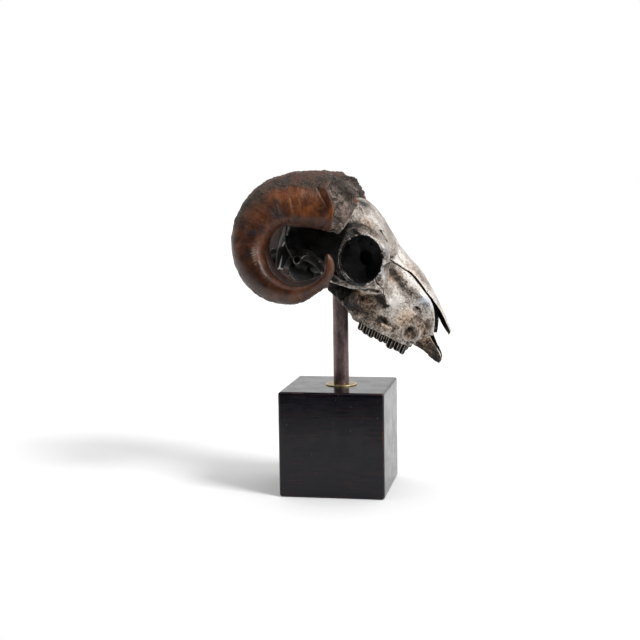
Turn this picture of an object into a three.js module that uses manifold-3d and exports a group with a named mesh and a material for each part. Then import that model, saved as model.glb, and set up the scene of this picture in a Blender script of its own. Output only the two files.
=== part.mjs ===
// A ram's skull on a museum stand: a square dark wooden block, a brass washer, a steel rod, and the
// skull held nose-down on the rod. Millimetres, +Z up, origin at the middle of the block's underside.
// The skull faces +X. It is modelled in its own frame, then tipped and lifted into place:
//   x runs forward along the palate from the occipital condyles, y to the animal's left, z up.
import * as THREE from "three";
import { LoftGeometry } from "three/addons/geometries/LoftGeometry.js";
import { RoundedBoxGeometry } from "three/addons/geometries/RoundedBoxGeometry.js";
import { mergeVertices } from "three/addons/utils/BufferGeometryUtils.js";
import Module from "manifold-3d";

const wasm = await Module();
wasm.setup();

// ---- Driving dimensions -------------------------------------------------------------------------

const BLOCK = 120; // side of the wooden cube
const BLOCK_EDGE = 3; // rounding of its edges
const WASHER_RADIUS = 18;
const WASHER_THICK = 1.4;
const ROD_RADIUS = 8.9;
const ROD_X = 2.5; // the rod stands a little off the block's middle
const ROD_TOP = 240;
const GAP = 0.3; // clearance between neighbouring pieces

const NOSE_DOWN = THREE.MathUtils.degToRad(30); // tilt of the palate below the horizontal
const CONDYLE_X = -80.1; // where the skull frame's origin stands
const CONDYLE_Z = 262.3;

const SKULL_LENGTH = 227; // condyles to the tip of the premaxillae
const NASAL_START = 116; // back end of the nasal bones
const NASAL_END = 221; // their free tip
const NASAL_THICK = 2.6;
const BRAINCASE = { x: 40, z: 53, long: 46, wide: 34, high: 38 };
const ORBIT = { x: 97.5, z: 63.4, long: 21.6, high: 25.5, tilt: NOSE_DOWN, back: -60, front: -50 };
const ORBIT_RIM = 3.6; // thickness of the bony rim, as a tube's radius
const TOOTH_ROW = { back: 128, front: 188.5, backY: 27, frontY: 17.5, height: 11 };
const TOOTH_LOBES = [7.3, 7.3, 6.5, 6.4, 5.2, 5.1, 8.4, 7.6, 6.7]; // M3 M3 M2 M2 M1 M1 P4 P3 P2, lengths

// The horn from its base on the forehead to its tip, in the stand's frame: the middle's x and z, its distance
// from the midline, half of its width in the plane of the coil, and half of its width across that plane.
const HORN_COURSE = [
  [28, 309, 29, 18, 20], [16, 315.5, 34, 20, 22], [-1, 330, 42, 29.5, 27], [-25, 335, 49, 31, 27],
  [-61.5, 329.5, 60, 27, 25.5], [-82.5, 306, 68, 22.5, 23.5], [-86.5, 276.5, 76, 18.7, 21], [-70.5, 246, 84, 15.2, 18],
  [-38.2, 232, 92, 10.5, 14], [-7.7, 240.5, 99, 5.8, 9], [9.2, 257.4, 104, 4.1, 5.5], [8.1, 277.5, 108.5, 2.4, 2.8],
];
const COLLAR_START = 1 / (HORN_COURSE.length - 1); // shares of the course: where the collar leaves the forehead,
const COLLAR_END = 2.1 / (HORN_COURSE.length - 1); // and where the horn's sheath begins
const HORN_SKEW = 0.2; // how much the side toward the skull lies nearer the coil's middle
const LIP = 1.8; // how far the sheath's edge stands over the collar

// ---- Making solids ------------------------------------------------------------------------------

const at = (x, y, z) => new THREE.Vector3(x, y, z);
const lerp = THREE.MathUtils.lerp;

// A closed geometry as a manifold solid.
function solid(geometry) {
  const bare = new THREE.BufferGeometry().setAttribute("position", geometry.attributes.position);
  const merged = mergeVertices(bare.setIndex(geometry.index), 1e-3);
  const triVerts = new Uint32Array(merged.index.array);
  const vertProperties = new Float32Array(merged.attributes.position.array);
  return new wasm.Manifold(new wasm.Mesh({ numProp: 3, vertProperties, triVerts }));
}

const join = (...pieces) => pieces.reduce((whole, piece) => whole.add(piece));

const middleOf = (ring) => ring.reduce((sum, point) => sum.add(point), at(0, 0, 0)).divideScalar(ring.length);

// Rings of points skinned into one body, turned so that its faces look outward.
function loft(rings, ends = { capStart: true, capEnd: true }) {
  const middle = middleOf(rings[0]);
  const ahead = middleOf(rings[1]).sub(middle);
  const turn = rings[0].reduce((sum, point, i) => {
    const next = rings[0][(i + 1) % rings[0].length];
    return sum.add(point.clone().sub(middle).cross(next.clone().sub(middle)));
  }, at(0, 0, 0));
  const sections = turn.dot(ahead) > 0 ? rings : rings.map((ring) => [...ring].reverse());
  return solid(new LoftGeometry(sections, ends));
}

// A value that changes along x, straight between the named stations.
function along(stations) {
  return (x) => {
    const next = stations.findIndex(([place]) => place > x);
    if (next === 0) return stations[0][1];
    if (next < 0) return stations[stations.length - 1][1];
    const [x0, v0] = stations[next - 1];
    const [x1, v1] = stations[next];
    return lerp(v0, v1, (x - x0) / (x1 - x0));
  };
}

const steps = (from, to, count) => Array.from({ length: count + 1 }, (_, i) => lerp(from, to, i / count));

function ellipsoid(x, y, z, rx, ry, rz, around = 8, down = 5) {
  return solid(new THREE.SphereGeometry(1, around, down).scale(rx, ry, rz).translate(x, y, z));
}

// A round tube through points, each with its own radius. flat squashes it along y.
function tube(points, radii, { sides = 5, count = 6, flat = 1 } = {}) {
  const path = new THREE.CatmullRomCurve3(points);
  const width = new THREE.CatmullRomCurve3(radii.map((r) => at(r, 0, 0)));
  const frames = path.computeFrenetFrames(count, false);
  const sections = steps(0, 1, count).map((t, i) => {
    const middle = path.getPoint(t);
    const radius = width.getPoint(t).x;
    return steps(0, 2 * Math.PI, sides).slice(0, sides).map((angle) => {
      const out = frames.normals[i].clone().multiplyScalar(radius * Math.cos(angle));
      out.addScaledVector(frames.binormals[i], radius * Math.sin(angle));
      out.y *= flat;
      return out.add(middle);
    });
  });
  return loft(sections);
}

// A flat outline in the side view, given as x and z, carried sideways from y0 to y1.
function sideSlab(outline, y0, y1) {
  return loft([y0, y1].map((y) => outline.map(([x, z]) => at(x, y, z))));
}

// ---- The skull's outline ------------------------------------------------------------------------

const ROOF_Z = along([[0, 60], [20, 84], [38, 104], [52, 114], [62, 117.5], [75, 116.5], [86, 111], [95, 106.5],
  [104, 101.5], [122, 92.5], [139, 86], [155, 80.5], [176, 69], [195, 57], [210, 45.5], [NASAL_END, 36.5]]);
const ROOF_EDGE_Y = along([[38, 34], [50, 38], [65, 46], [75, 53], [86, 55.5], [95, 54], [105, 50], [115, 43], [126, 30]]);
const ROOF_EDGE_Z = along([[38, 78], [50, 86], [65, 91], [75, 88], [86, 88], [95, 87], [105, 83.5], [115, 79], [126, 76]]);

const FACE_TOP_Y = along([[78, 26], [100, 24], [120, 21], [135, 18.5], [150, 17.5], [170, 17], [188, 15.5], [205, 17]]);
const FACE_TOP_Z = along([[78, 96], [100, 92], [120, 82], [135, 77], [150, 72.5], [170, 64], [187, 54], [197, 38], [205, 22]]);
const FACE_UP_Y = along([[78, 22], [100, 24], [110, 38], [120, 48], [128, 41.5], [138, 33], [150, 28.5], [170, 24], [188, 19.5],
  [205, 18]]);
const FACE_UP_Z = along([[78, 80], [100, 76], [110, 70], [120, 65], [128, 61], [138, 57], [150, 52], [170, 43], [188, 35],
  [205, 17]]);
const FACE_MID_Y = along([[78, 18], [100, 19], [112, 36], [121, 48.5], [128, 44], [135, 40], [150, 36], [170, 28], [188, 22.5], [205, 19]]);
const FACE_MID_Z = along([[78, 60], [100, 52], [120, 46], [135, 40], [150, 33], [170, 24], [188, 18], [205, 12]]);
const FACE_LOW_Y = along([[78, 12], [100, 15], [112, 25], [122, 31], [150, 32], [170, 28], [188, 21.5], [205, 17.5]]);
const FACE_LOW_Z = along([[78, 16], [100, 10], [112, 0], [120, -3], [150, -2], [170, -1], [188, -0.5], [205, 3]]);

const NASAL_STATIONS = [NASAL_START, 122, 135, 150, 165, 180, 195, 208, NASAL_END];
const NASAL_EDGE_Y = along([[NASAL_START, 5], [122, 11], [135, 15], [160, 16.5], [180, 15.5], [195, 13], [210, 8.5], [NASAL_END, 3]]);
const NASAL_DROP = along([[NASAL_START, 3], [122, 6], [142, 9.5], [160, 7.5], [175, 6], [190, 6], [205, 4.5], [NASAL_END, 1.5]]);

// ---- Braincase, forehead and occiput ------------------------------------------------------------

function braincase() {
  const b = BRAINCASE;
  return ellipsoid(b.x, 0, b.z, b.long, b.wide, b.high, 14, 8);
}

// The broad roof over the orbits, on which the horns stand.
function foreheadRoof() {
  const halfRing = (x) => {
    const [top, edgeY, edgeZ] = [ROOF_Z(x), ROOF_EDGE_Y(x), ROOF_EDGE_Z(x)];
    return [[edgeY * 0.45, lerp(top, edgeZ, 0.18)], [edgeY * 0.82, lerp(top, edgeZ, 0.62)], [edgeY, edgeZ],
      [edgeY - 3, edgeZ - 6], [edgeY * 0.6, edgeZ - 10], [14, edgeZ - 26]];
  };
  const section = (x) => {
    const half = halfRing(x);
    const right = half.map(([y, z]) => at(x, -y, z));
    const left = half.map(([y, z]) => at(x, y, z)).reverse();
    return [at(x, 0, ROOF_Z(x)), ...right, ...left];
  };
  return loft([38, 50, 62, 75, 86, 98, 112, 125].map(section));
}

function occiput() {
  const base = loft([[2, 13, 10], [20, 14, 9], [45, 11, 8], [70, 9, 9], [96, 8, 9]].map(([x, wide, high]) => {
    const z = lerp(8, 17, x / 96);
    return [at(x, -wide, z), at(x, -wide * 0.7, z - high * 0.5), at(x, wide * 0.7, z - high * 0.5), at(x, wide, z),
      at(x, wide, z + high * 1.6), at(x, -wide, z + high * 1.6)];
  }));
  const back = ellipsoid(14, 0, 38, 15, 33, 28, 11, 6);
  const crest = tube([at(22, -36, 26), at(8, -34, 40), at(3, -25, 55), at(4, 0, 63), at(3, 25, 55), at(8, 34, 40),
    at(22, 36, 26)], [4, 4, 3.6, 3.6, 3.6, 4, 4], { count: 9, sides: 5 });
  return join(base, back, crest);
}

function condyle(side) {
  return ellipsoid(7, 12.5 * side, 2.5, 8.5, 8.5, 10.5);
}

function paracondylar(side) {
  return tube([at(13, 27 * side, 22), at(17, 30 * side, 8), at(22.5, 29 * side, -9)], [7.5, 5, 1.8], { count: 4 });
}

function ear(side) {
  const bulla = ellipsoid(41, 23 * side, 13, 14, 9, 10.5);
  const canal = tube([at(36, 24 * side, 22), at(33, 40.5 * side, 25)], [7, 5.4], { count: 3 });
  return join(bulla, canal);
}

function earHole(side) {
  return tube([at(35, 30 * side, 24), at(32, 48 * side, 25.5)], [2.7, 3.1], { count: 1 });
}

// ---- Orbit and cheek ----------------------------------------------------------------------------

function orbitPoint(angle, grow, side) {
  const across = (ORBIT.long + grow) * Math.cos(angle);
  const up = (ORBIT.high + grow) * Math.sin(angle);
  const x = ORBIT.x + across * Math.cos(ORBIT.tilt) - up * Math.sin(ORBIT.tilt);
  const z = ORBIT.z + across * Math.sin(ORBIT.tilt) + up * Math.cos(ORBIT.tilt);
  const forward = (x - ORBIT.x) / ORBIT.long;
  const y = lerp(ORBIT.back, ORBIT.front, 0.5 + 0.5 * forward) + 3.5 * (z - ORBIT.z) / ORBIT.high;
  return at(x, -y * side, z);
}

function orbitRim(side) {
  const ring = 16;
  const sides = 5;
  const sections = steps(0, 2 * Math.PI, ring).slice(0, ring).map((angle) =>
    steps(0, 2 * Math.PI, sides).slice(0, sides).map((turn) => {
      const point = orbitPoint(angle, ORBIT_RIM * (0.8 + Math.cos(turn)), side);
      point.y += ORBIT_RIM * Math.sin(turn) * side;
      return point;
    }));
  return loft([...sections, sections[0]], {});
}

function orbitHollow(side) {
  const slices = [[74, 1.35], [56, 1], [40, 0.94], [28, 0.74], [19, 0.3]];
  return loft(slices.map(([y, grow]) => steps(0, 2 * Math.PI, 13).slice(0, 13).map((angle) => {
    const point = orbitPoint(angle, 0, 1);
    return at(lerp(ORBIT.x, point.x, grow), y * side, lerp(ORBIT.z, point.z, grow));
  })));
}

// The lacrimal bone, from the front of the brow down to the cheek, in front of the orbit.
function lacrimal(side) {
  return tube([at(102, 45 * side, 86), at(116, 43 * side, 79), at(124, 42 * side, 58)], [6, 8, 7], { count: 3 });
}

function cheek(side) {
  const arch = tube([at(126, 44 * side, 46), at(112, 56 * side, 36), at(90, 60 * side, 29), at(70, 58 * side, 31),
    at(54, 50 * side, 36), at(36, 38 * side, 33), at(22, 34 * side, 30)], [6, 6.5, 5.5, 4.5, 5.5, 6.5, 5],
    { count: 9, sides: 5, flat: 0.75 });
  const plate = sideSlab([[80, 43], [82, 30], [100, 28], [118, 32], [126, 38], [122, 48], [108, 42], [92, 40]],
    46 * side, 54 * side);
  const root = tube([at(118, 26 * side, 22), at(122, 36 * side, 34), at(124, 46 * side, 46)], [16, 13, 8], { count: 3 });
  const crest = tube([at(128, 46 * side, 44), at(140, 40.5 * side, 36), at(149, 36 * side, 29)], [5, 4, 3.5],
    { count: 3, sides: 5 });
  return join(arch, plate, root, crest);
}

// ---- Face, palate and nose ----------------------------------------------------------------------

function faceBody() {
  const section = (x) => {
    const side = new THREE.CatmullRomCurve3([at(x, -FACE_TOP_Y(x), FACE_TOP_Z(x)), at(x, -FACE_UP_Y(x), FACE_UP_Z(x)),
      at(x, -FACE_MID_Y(x), FACE_MID_Z(x)), at(x, -FACE_LOW_Y(x), FACE_LOW_Z(x))]);
    const right = side.getPoints(4);
    const left = right.map((p) => at(p.x, -p.y, p.z)).reverse();
    return [...right, ...left];
  };
  return loft([78, 96, 108, 115, 121, 128, 138, 150, 170, 188, 205].map(section));
}

function noseHollow() {
  const section = (x) => {
    const wide = FACE_TOP_Y(x) - 3.2;
    const low = along([[126, 16], [150, 12], [212, 9]])(x);
    const top = ROOF_Z(x) + 8;
    const pinch = along([[126, 0.5], [140, 1], [188, 1], [212, 0.72]])(x);
    return [at(x, -wide, top), at(x, -wide, FACE_TOP_Z(x) - 4), at(x, -wide * 1.05 * pinch, lerp(low, FACE_TOP_Z(x), 0.4)),
      at(x, -wide * 0.6 * pinch, low), at(x, wide * 0.6 * pinch, low),
      at(x, wide * 1.05 * pinch, lerp(low, FACE_TOP_Z(x), 0.4)), at(x, wide, FACE_TOP_Z(x) - 4), at(x, wide, top)];
  };
  return loft([126, 140, 160, 175, 188, 200, 212].map(section));
}

// The roof of the mouth and the way into the throat lie between the tooth rows.
function mouthHollow() {
  const section = ([x, wide, roof]) => [at(x, -wide, -12), at(x, -wide, roof - 3), at(x, -wide * 0.6, roof),
    at(x, wide * 0.6, roof), at(x, wide, roof - 3), at(x, wide, -12)];
  return loft([[60, 12, 9], [100, 13, 13], [112, 15, 8], [135, 18.5, 7], [165, 15, 7], [188, 11, 6], [215, 8, 5]].map(section));
}

// What lies on and above the nasal bones' bed is cut away from the face.
function nasalBed() {
  const section = (x) => {
    const [edge, drop, top] = [NASAL_EDGE_Y(x) + 0.6, NASAL_DROP(x), ROOF_Z(x)];
    const under = top - NASAL_THICK - GAP;
    const half = [[edge * 0.6, under - drop * 0.5], [edge * 0.85, under - drop], [edge, under - drop], [edge, top + 30]];
    const right = half.map(([y, z]) => at(x, -y, z)).reverse();
    return [...right, at(x, 0, under), ...half.map(([y, z]) => at(x, y, z))];
  };
  return loft([NASAL_START - 0.5, ...NASAL_STATIONS.slice(1, -1)].map(section));
}

function nasal(side) {
  const section = (x) => {
    const short = side < 0 ? along([[180, 1], [200, 0.55], [NASAL_END, 0.4]])(x) : 1; // worn along the right edge
    const [edge, drop, top] = [NASAL_EDGE_Y(x), NASAL_DROP(x) * short, ROOF_Z(x)];
    const thick = Math.min(NASAL_THICK, edge * 0.7);
    const inner = GAP / 2;
    return [[inner, top], [edge * 0.4, top - drop * 0.12], [edge * 0.75, top - drop * 0.45], [edge, top - drop],
      [edge * 0.9, top - drop - thick * 0.6], [edge * 0.66, top - thick - drop * 0.45],
      [edge * 0.35, top - thick - drop * 0.12], [inner, top - thick]].map(([y, z]) => at(x, y * side, z));
  };
  return loft(NASAL_STATIONS.map(section));
}

function premaxilla(side) {
  const body = loft([[196, 20.5, 15, 3.5, 17], [206, 17.5, 13.5, 2.5, 14.5], [214, 13.5, 10, 0.5, 10.5], [221, 10, 5, -1.5, 7],
    [SKULL_LENGTH - 0.6, 7.5, 2.5, -1.5, 3.5]].map(([x, outer, inner, low, high]) =>
    [[outer, lerp(low, high, 0.45)], [lerp(outer, inner, 0.45), low], [inner, low + 0.8], [inner, lerp(low, high, 0.6)],
      [lerp(outer, inner, 0.5), high], [outer, lerp(low, high, 0.8)]].map(([y, z]) => at(x, y * side, z))));
  const splint = tube([at(188, 5 * side, 8), at(205, 4.5 * side, 4.5), at(222, 4.5 * side, 0.5)], [1.6, 2, 2.6], { count: 2 });
  const bridge = tube([at(215, 5.5 * side, 1.5), at(226, 5 * side, 0.5)], [2.6, 2.6], { count: 1 });
  return join(body, splint, bridge);
}

// ---- Throat -------------------------------------------------------------------------------------

function pterygoid(side) {
  const plate = sideSlab([[74, 16], [79, 8], [88, 4], [94, -1], [101, -3], [110, -2], [116, 6], [112, 22], [84, 26]],
    11.5 * side, 15.5 * side);
  const tuber = tube([at(104, 15 * side, 10), at(112, 21 * side, 4), at(122, 27 * side, 4)], [6, 7.5, 7], { count: 4 });
  return join(plate, tuber);
}

// ---- Teeth --------------------------------------------------------------------------------------

function toothRow(side) {
  const row = TOOTH_ROW;
  let x = row.back;
  const scale = (row.front - row.back) / TOOTH_LOBES.reduce((sum, length) => sum + length, 0);
  const lobes = TOOTH_LOBES.map((length, i) => {
    const half = length * scale / 2;
    x += half;
    const t = (x - row.back) / (row.front - row.back);
    const wide = lerp(6.4, 4.4, t);
    const crown = new THREE.CylinderGeometry(half * 1.32, half * 1.12, row.height + 6, 6);
    crown.rotateX(Math.PI / 2).scale(1, wide / half, 1);
    crown.translate(x, lerp(row.backY, row.frontY, t) * side, -(row.height - 6) / 2 - (i % 2 ? 0.6 : 1.2));
    x += half;
    return solid(crown);
  });
  return join(...lobes);
}

// ---- Horns --------------------------------------------------------------------------------------

const hornPath = new THREE.CatmullRomCurve3(HORN_COURSE.map(([x, z, y]) => at(x - CONDYLE_X, y, z - CONDYLE_Z)));
const hornWidths = new THREE.CatmullRomCurve3(HORN_COURSE.map((row) => at(row[3], row[4], 0)));

function hornSection(t, side, grow, sides = 12) {
  const mirrored = (v) => v.applyAxisAngle(at(0, 1, 0), -NOSE_DOWN).setY(v.y * side);
  const middle = mirrored(hornPath.getPoint(t));
  const heading = mirrored(hornPath.getTangent(t));
  const lateral = at(0, side, 0).addScaledVector(heading, -heading.y * side).normalize();
  const outward = new THREE.Vector3().crossVectors(lateral, heading).normalize().multiplyScalar(-side);
  const { x: depth, y: breadth } = hornWidths.getPoint(t);
  return steps(0, 2 * Math.PI, sides).slice(0, sides).map((angle) => {
    const square = (v) => Math.sign(v) * Math.abs(v) ** 0.86;
    const narrow = 1 + 0.14 * Math.cos(angle); // broader on the outside of the coil
    const across = (breadth * narrow + grow) * square(Math.sin(angle));
    return middle.clone().addScaledVector(outward, (depth + grow) * square(Math.cos(angle)) + HORN_SKEW * across)
      .addScaledVector(lateral, across);
  });
}

const HAIR = 0.0012; // share of the course that leaves a small gap
const COLLAR_RINGS = steps(COLLAR_START, COLLAR_END, 3);
const SHEATH_RINGS = steps(COLLAR_END + HAIR, 1, 17);
const lipAt = (i) => i === 0 ? LIP / 2 : LIP * Math.exp(-i / 3);

function hornSheath(side) {
  return loft(SHEATH_RINGS.map((t, i) => hornSection(t, side, lipAt(i))));
}

function hornCollar(side) {
  return loft(COLLAR_RINGS.map((t) => hornSection(t, side, 0)));
}

// The room that the collar and the horn take up next to the skull.
function hornRoom(side) {
  const collar = [COLLAR_START - HAIR, ...COLLAR_RINGS.slice(1)].map((t) => hornSection(t, side, GAP));
  const sheath = SHEATH_RINGS.slice(0, 6).map((t, i) => hornSection(t, side, lipAt(i) + GAP));
  return loft([...collar, ...sheath]);
}

// The bony stump that carries the collar, sunk in the forehead.
function hornStump(side) {
  const base = hornSection(COLLAR_START - HAIR, side, 0);
  const middle = middleOf(base);
  const ring = (share, sink) => {
    const inside = middle.clone().lerp(at(68, 20 * side, 82), sink);
    return base.map((point) => point.clone().sub(middle).multiplyScalar(share).add(inside));
  };
  return loft([ring(0.7, 1), ring(0.92, 0.3), ring(0.96, 0)]);
}

// ---- Parting the skull --------------------------------------------------------------------------

const pair = (make) => join(make(-1), make(1));

function wholeSkull() {
  let whole = join(braincase(), foreheadRoof(), occiput(), faceBody(), pair(condyle), pair(paracondylar), pair(ear),
    pair(cheek), pair(lacrimal), pair(orbitRim), pair(pterygoid), pair(hornStump));
  const rod = new THREE.CylinderGeometry(ROD_RADIUS + GAP, ROD_RADIUS + GAP, 80, 24).rotateX(Math.PI / 2);
  rod.translate(ROD_X - CONDYLE_X, 0, ROD_TOP + GAP - 40 - CONDYLE_Z).rotateY(-NOSE_DOWN);
  const spinalHole = tube([at(-12, 0, 13), at(26, 0, 24)], [9.5, 8.5], { count: 1, sides: 10 });
  const cuts = [pair(hornRoom), pair(orbitHollow), pair(earHole), noseHollow(), mouthHollow(), nasalBed(), solid(rod), spinalHole];
  cuts.forEach((cut) => {
    whole = whole.subtract(cut);
  });
  return whole;
}

const FAR = 150;

function parted(whole) {
  const cheekOutline = [[58, 46], [86, 60], [112, 60], [121, 50], [134, 37], [112, 20], [58, 14]];
  const snoutOutline = [[117, FAR], [240, FAR], [240, -60], [91, -60], [96, 8], [104, 24], [118, 46], [121, 70], [116, 84]];
  const grown = (outline, by) => {
    const middle = outline.reduce((sum, [x, z]) => [sum[0] + x / outline.length, sum[1] + z / outline.length], [0, 0]);
    return outline.map(([x, z]) => {
      const away = at(x - middle[0], 0, z - middle[1]);
      away.setLength(away.length() + by);
      return [middle[0] + away.x, middle[1] + away.z];
    });
  };
  const cheekBox = (side, by) => sideSlab(grown(cheekOutline, by), (41 - by) * side, 80 * side);
  const rightCheek = whole.intersect(cheekBox(-1, 0));
  const leftCheek = whole.intersect(cheekBox(1, 0));
  const rest = whole.subtract(cheekBox(-1, GAP)).subtract(cheekBox(1, GAP));
  const snout = rest.intersect(sideSlab(snoutOutline, -FAR, FAR));
  const cranium = rest.subtract(sideSlab(grown(snoutOutline, GAP * 1.5), -FAR, FAR));
  return { rightCheek, leftCheek, snout, cranium };
}

const halfBox = (side) => solid(new THREE.BoxGeometry(400, 200, 400).translate(0, side * (100 + GAP / 2), 0));

// ---- Materials and the scene --------------------------------------------------------------------

const finish = (color, roughness, metalness) => new THREE.MeshStandardMaterial({ color, roughness, metalness });
const SILVERED_BONE = finish(0x9b9186, 0.4, 0.75);
const HORN = finish(0x6f3d20, 0.38, 0);
const COLLAR = finish(0x6e5f55, 0.7, 0);
const EBONISED_WOOD = finish(0x151214, 0.2, 0);
const STEEL = finish(0x5a4b48, 0.4, 0.8);
const BRASS = finish(0xa8854a, 0.35, 0.9);

function mesh(name, piece, material) {
  const made = piece.getMesh();
  const geometry = new THREE.BufferGeometry();
  geometry.setAttribute("position", new THREE.BufferAttribute(made.vertProperties, 3));
  geometry.setIndex(new THREE.BufferAttribute(made.triVerts, 1));
  const node = new THREE.Mesh(geometry, material);
  node.name = name;
  return node;
}

function stand() {
  const group = new THREE.Group();
  const block = new RoundedBoxGeometry(BLOCK, BLOCK, BLOCK, 2, BLOCK_EDGE).translate(0, 0, BLOCK / 2);
  group.add(mesh("stand_block", solid(block), EBONISED_WOOD));
  const hole = ROD_RADIUS + GAP;
  const washer = new THREE.LatheGeometry([[hole, 0], [WASHER_RADIUS, 0], [WASHER_RADIUS, WASHER_THICK * 0.5],
    [WASHER_RADIUS - 1, WASHER_THICK], [hole, WASHER_THICK], [hole, 0]].map(([x, y]) => new THREE.Vector2(x, y)), 28);
  washer.rotateX(Math.PI / 2).translate(ROD_X, 0, BLOCK);
  group.add(mesh("stand_washer", solid(washer), BRASS));
  const rod = new THREE.CylinderGeometry(ROD_RADIUS, ROD_RADIUS, ROD_TOP - BLOCK, 24).rotateX(Math.PI / 2);
  rod.translate(ROD_X, 0, (ROD_TOP + BLOCK) / 2);
  group.add(mesh("stand_rod", solid(rod), STEEL));
  return group;
}

function skull() {
  const group = new THREE.Group();
  const { rightCheek, leftCheek, snout, cranium } = parted(wholeSkull());
  const withTeeth = (side) => snout.intersect(halfBox(side)).add(toothRow(side));
  const snoutFront = 196;
  const frontOf = (x) => sideSlab([[x, 10], [x + 12, -20], [260, -20], [260, 60], [x - 4, 60]], -60, 60);
  for (const side of [-1, 1]) {
    const name = side < 0 ? "right" : "left";
    const jaw = withTeeth(side).subtract(frontOf(snoutFront));
    group.add(mesh(`upper_jaw_${name}`, jaw, SILVERED_BONE));
    group.add(mesh(`premaxilla_${name}`, premaxilla(side).intersect(frontOf(snoutFront + GAP)), SILVERED_BONE));
    group.add(mesh(`nasal_bone_${name}`, nasal(side), SILVERED_BONE));
    group.add(mesh(`cheekbone_${name}`, side < 0 ? rightCheek : leftCheek, SILVERED_BONE));
    group.add(mesh(`horn_${name}`, hornSheath(side), HORN));
    group.add(mesh(`horn_collar_${name}`, hornCollar(side), COLLAR));
  }
  group.add(mesh("cranium", cranium, SILVERED_BONE));
  group.rotation.y = NOSE_DOWN;
  group.position.set(CONDYLE_X, 0, CONDYLE_Z);
  return group;
}

const model = new THREE.Group();
model.add(stand(), skull());

export default model;
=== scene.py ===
"""A ram's skull with curled horns on its stand: the visible pieces, their materials, the light and the camera.

Lengths in the tables are millimetres. The skull is shaped in a frame of its own: x runs forward along the
palate from the condyles, y to the animal's left, z up. It is then tipped nose-down and set on the rod.
Bones are shaped as one distance field on a grid, parted along their sutures, and each part is skinned."""

import math

import bpy
import numpy as np
import openvdb
from mathutils import Matrix, Vector


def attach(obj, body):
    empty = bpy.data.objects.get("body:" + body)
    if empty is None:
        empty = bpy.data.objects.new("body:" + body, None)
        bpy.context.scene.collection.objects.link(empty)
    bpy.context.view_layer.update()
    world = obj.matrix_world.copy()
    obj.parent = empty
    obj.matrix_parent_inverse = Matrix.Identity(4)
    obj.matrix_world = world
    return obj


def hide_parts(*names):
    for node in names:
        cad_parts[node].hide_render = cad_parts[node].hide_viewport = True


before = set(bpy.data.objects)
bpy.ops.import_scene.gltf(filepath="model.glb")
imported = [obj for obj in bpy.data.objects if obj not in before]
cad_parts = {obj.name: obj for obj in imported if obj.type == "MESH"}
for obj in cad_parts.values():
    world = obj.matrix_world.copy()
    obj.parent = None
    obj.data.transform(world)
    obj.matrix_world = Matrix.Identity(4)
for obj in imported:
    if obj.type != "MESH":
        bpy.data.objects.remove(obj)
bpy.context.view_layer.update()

# ---- Sizes --------------------------------------------------------------------------------------

BLOCK, BLOCK_EDGE = 120.0, 3.0  # the cube's side and its edges' radius
ROD_X, ROD_RADIUS, ROD_TOP = 2.5, 8.9, 240.0
WASHER_RADIUS, WASHER_THICK = 18.0, 1.4
NOSE_DOWN = math.radians(30)
SKULL_AT = np.array([-80.1, 0.0, 262.3])  # where the condyles' middle is set
STEP = 0.8  # grid spacing of the bone
TOOTH_STEP = 0.45
GRID_LOW, GRID_HIGH = (-12, 0, -24), (232, 74, 126)
SUTURE = 0.12  # half of the width of the joint between two bones
CAVITY = 16  # how far from the midline the orbit's hollow begins
# The orbit's middle, half of its length and height, and its rim's distance from the midline behind and in front.
ORBIT = dict(x=97.5, z=63.4, long=21.6, high=25.5, back=60.0, front=50.0)

# The horn from the forehead to its tip, in the stand's frame: the middle's x and z, its distance from the
# midline, half of its width in the plane of the coil, and half of its width across that plane.
HORN_COURSE = np.array([
    [28, 309, 29, 18, 20], [16, 315.5, 34, 20, 22], [-1, 330, 42, 29.5, 27], [-25, 335, 49, 31, 27],
    [-61.5, 329.5, 60, 27, 25.5], [-82.5, 306, 68, 22.5, 23.5], [-86.5, 276.5, 76, 18.7, 21],
    [-70.5, 246, 84, 15.2, 18], [-38.2, 232, 92, 10.5, 14], [-7.7, 240.5, 99, 5.8, 9], [9.2, 257.4, 104, 4.1, 5.5],
    [8.1, 277.5, 108.5, 2.4, 2.8]], float)
HORN_EASE = 22  # how far the course is smoothed, in rows
HORN_SKEW = 0.2  # how far its sides lean inward, as a share of its width
LIP = 1.8  # how far the sheath's edge swells
COLLAR_START = 1 / 11  # the collar's near edge, as a share of the course

random = np.random.default_rng(41)


# ---- Curves and noise ---------------------------------------------------------------------------

def table(*stations):
    """A smooth curve through places and values, given in turn. It never overshoots, and is level beyond both ends."""
    x, v = np.array(stations, float).reshape(-1, 2).T
    slope = np.diff(v) / np.diff(x)
    lean = np.concatenate([[slope[0]], (slope[1:] + slope[:-1]) / 2, [slope[-1]]])
    turns = slope[1:] * slope[:-1] <= 0
    lean[1:-1][turns] = 0
    steepest = 3 * np.minimum(np.abs(np.append(slope, slope[-1])), np.abs(np.insert(slope, 0, slope[0])))
    lean = np.clip(lean, -steepest, steepest)

    def value(q):
        q = np.clip(np.asarray(q, float), x[0], x[-1])
        i = np.clip(np.searchsorted(x, q, "right") - 1, 0, len(x) - 2)
        h = x[i + 1] - x[i]
        t = (q - x[i]) / h
        return ((1 + 2 * t) * (1 - t) ** 2 * v[i] + t * (1 - t) ** 2 * h * lean[i]
                + t * t * (3 - 2 * t) * v[i + 1] + t * t * (t - 1) * h * lean[i + 1])
    return value


def spline(points, count):
    """Points of any dimension, joined by a smooth curve and read off at even shares of its length."""
    points = np.array(points, float)
    reach = np.concatenate([[0], np.cumsum(np.linalg.norm(np.diff(points[:, :3], axis=0), axis=1))])
    share = np.linspace(0, reach[-1], count)
    return np.stack([table(*np.stack([reach, column], 1).ravel())(share) for column in points.T], 1)


LATTICE = random.random((64, 64, 64)).astype("f4") * 2 - 1


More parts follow.
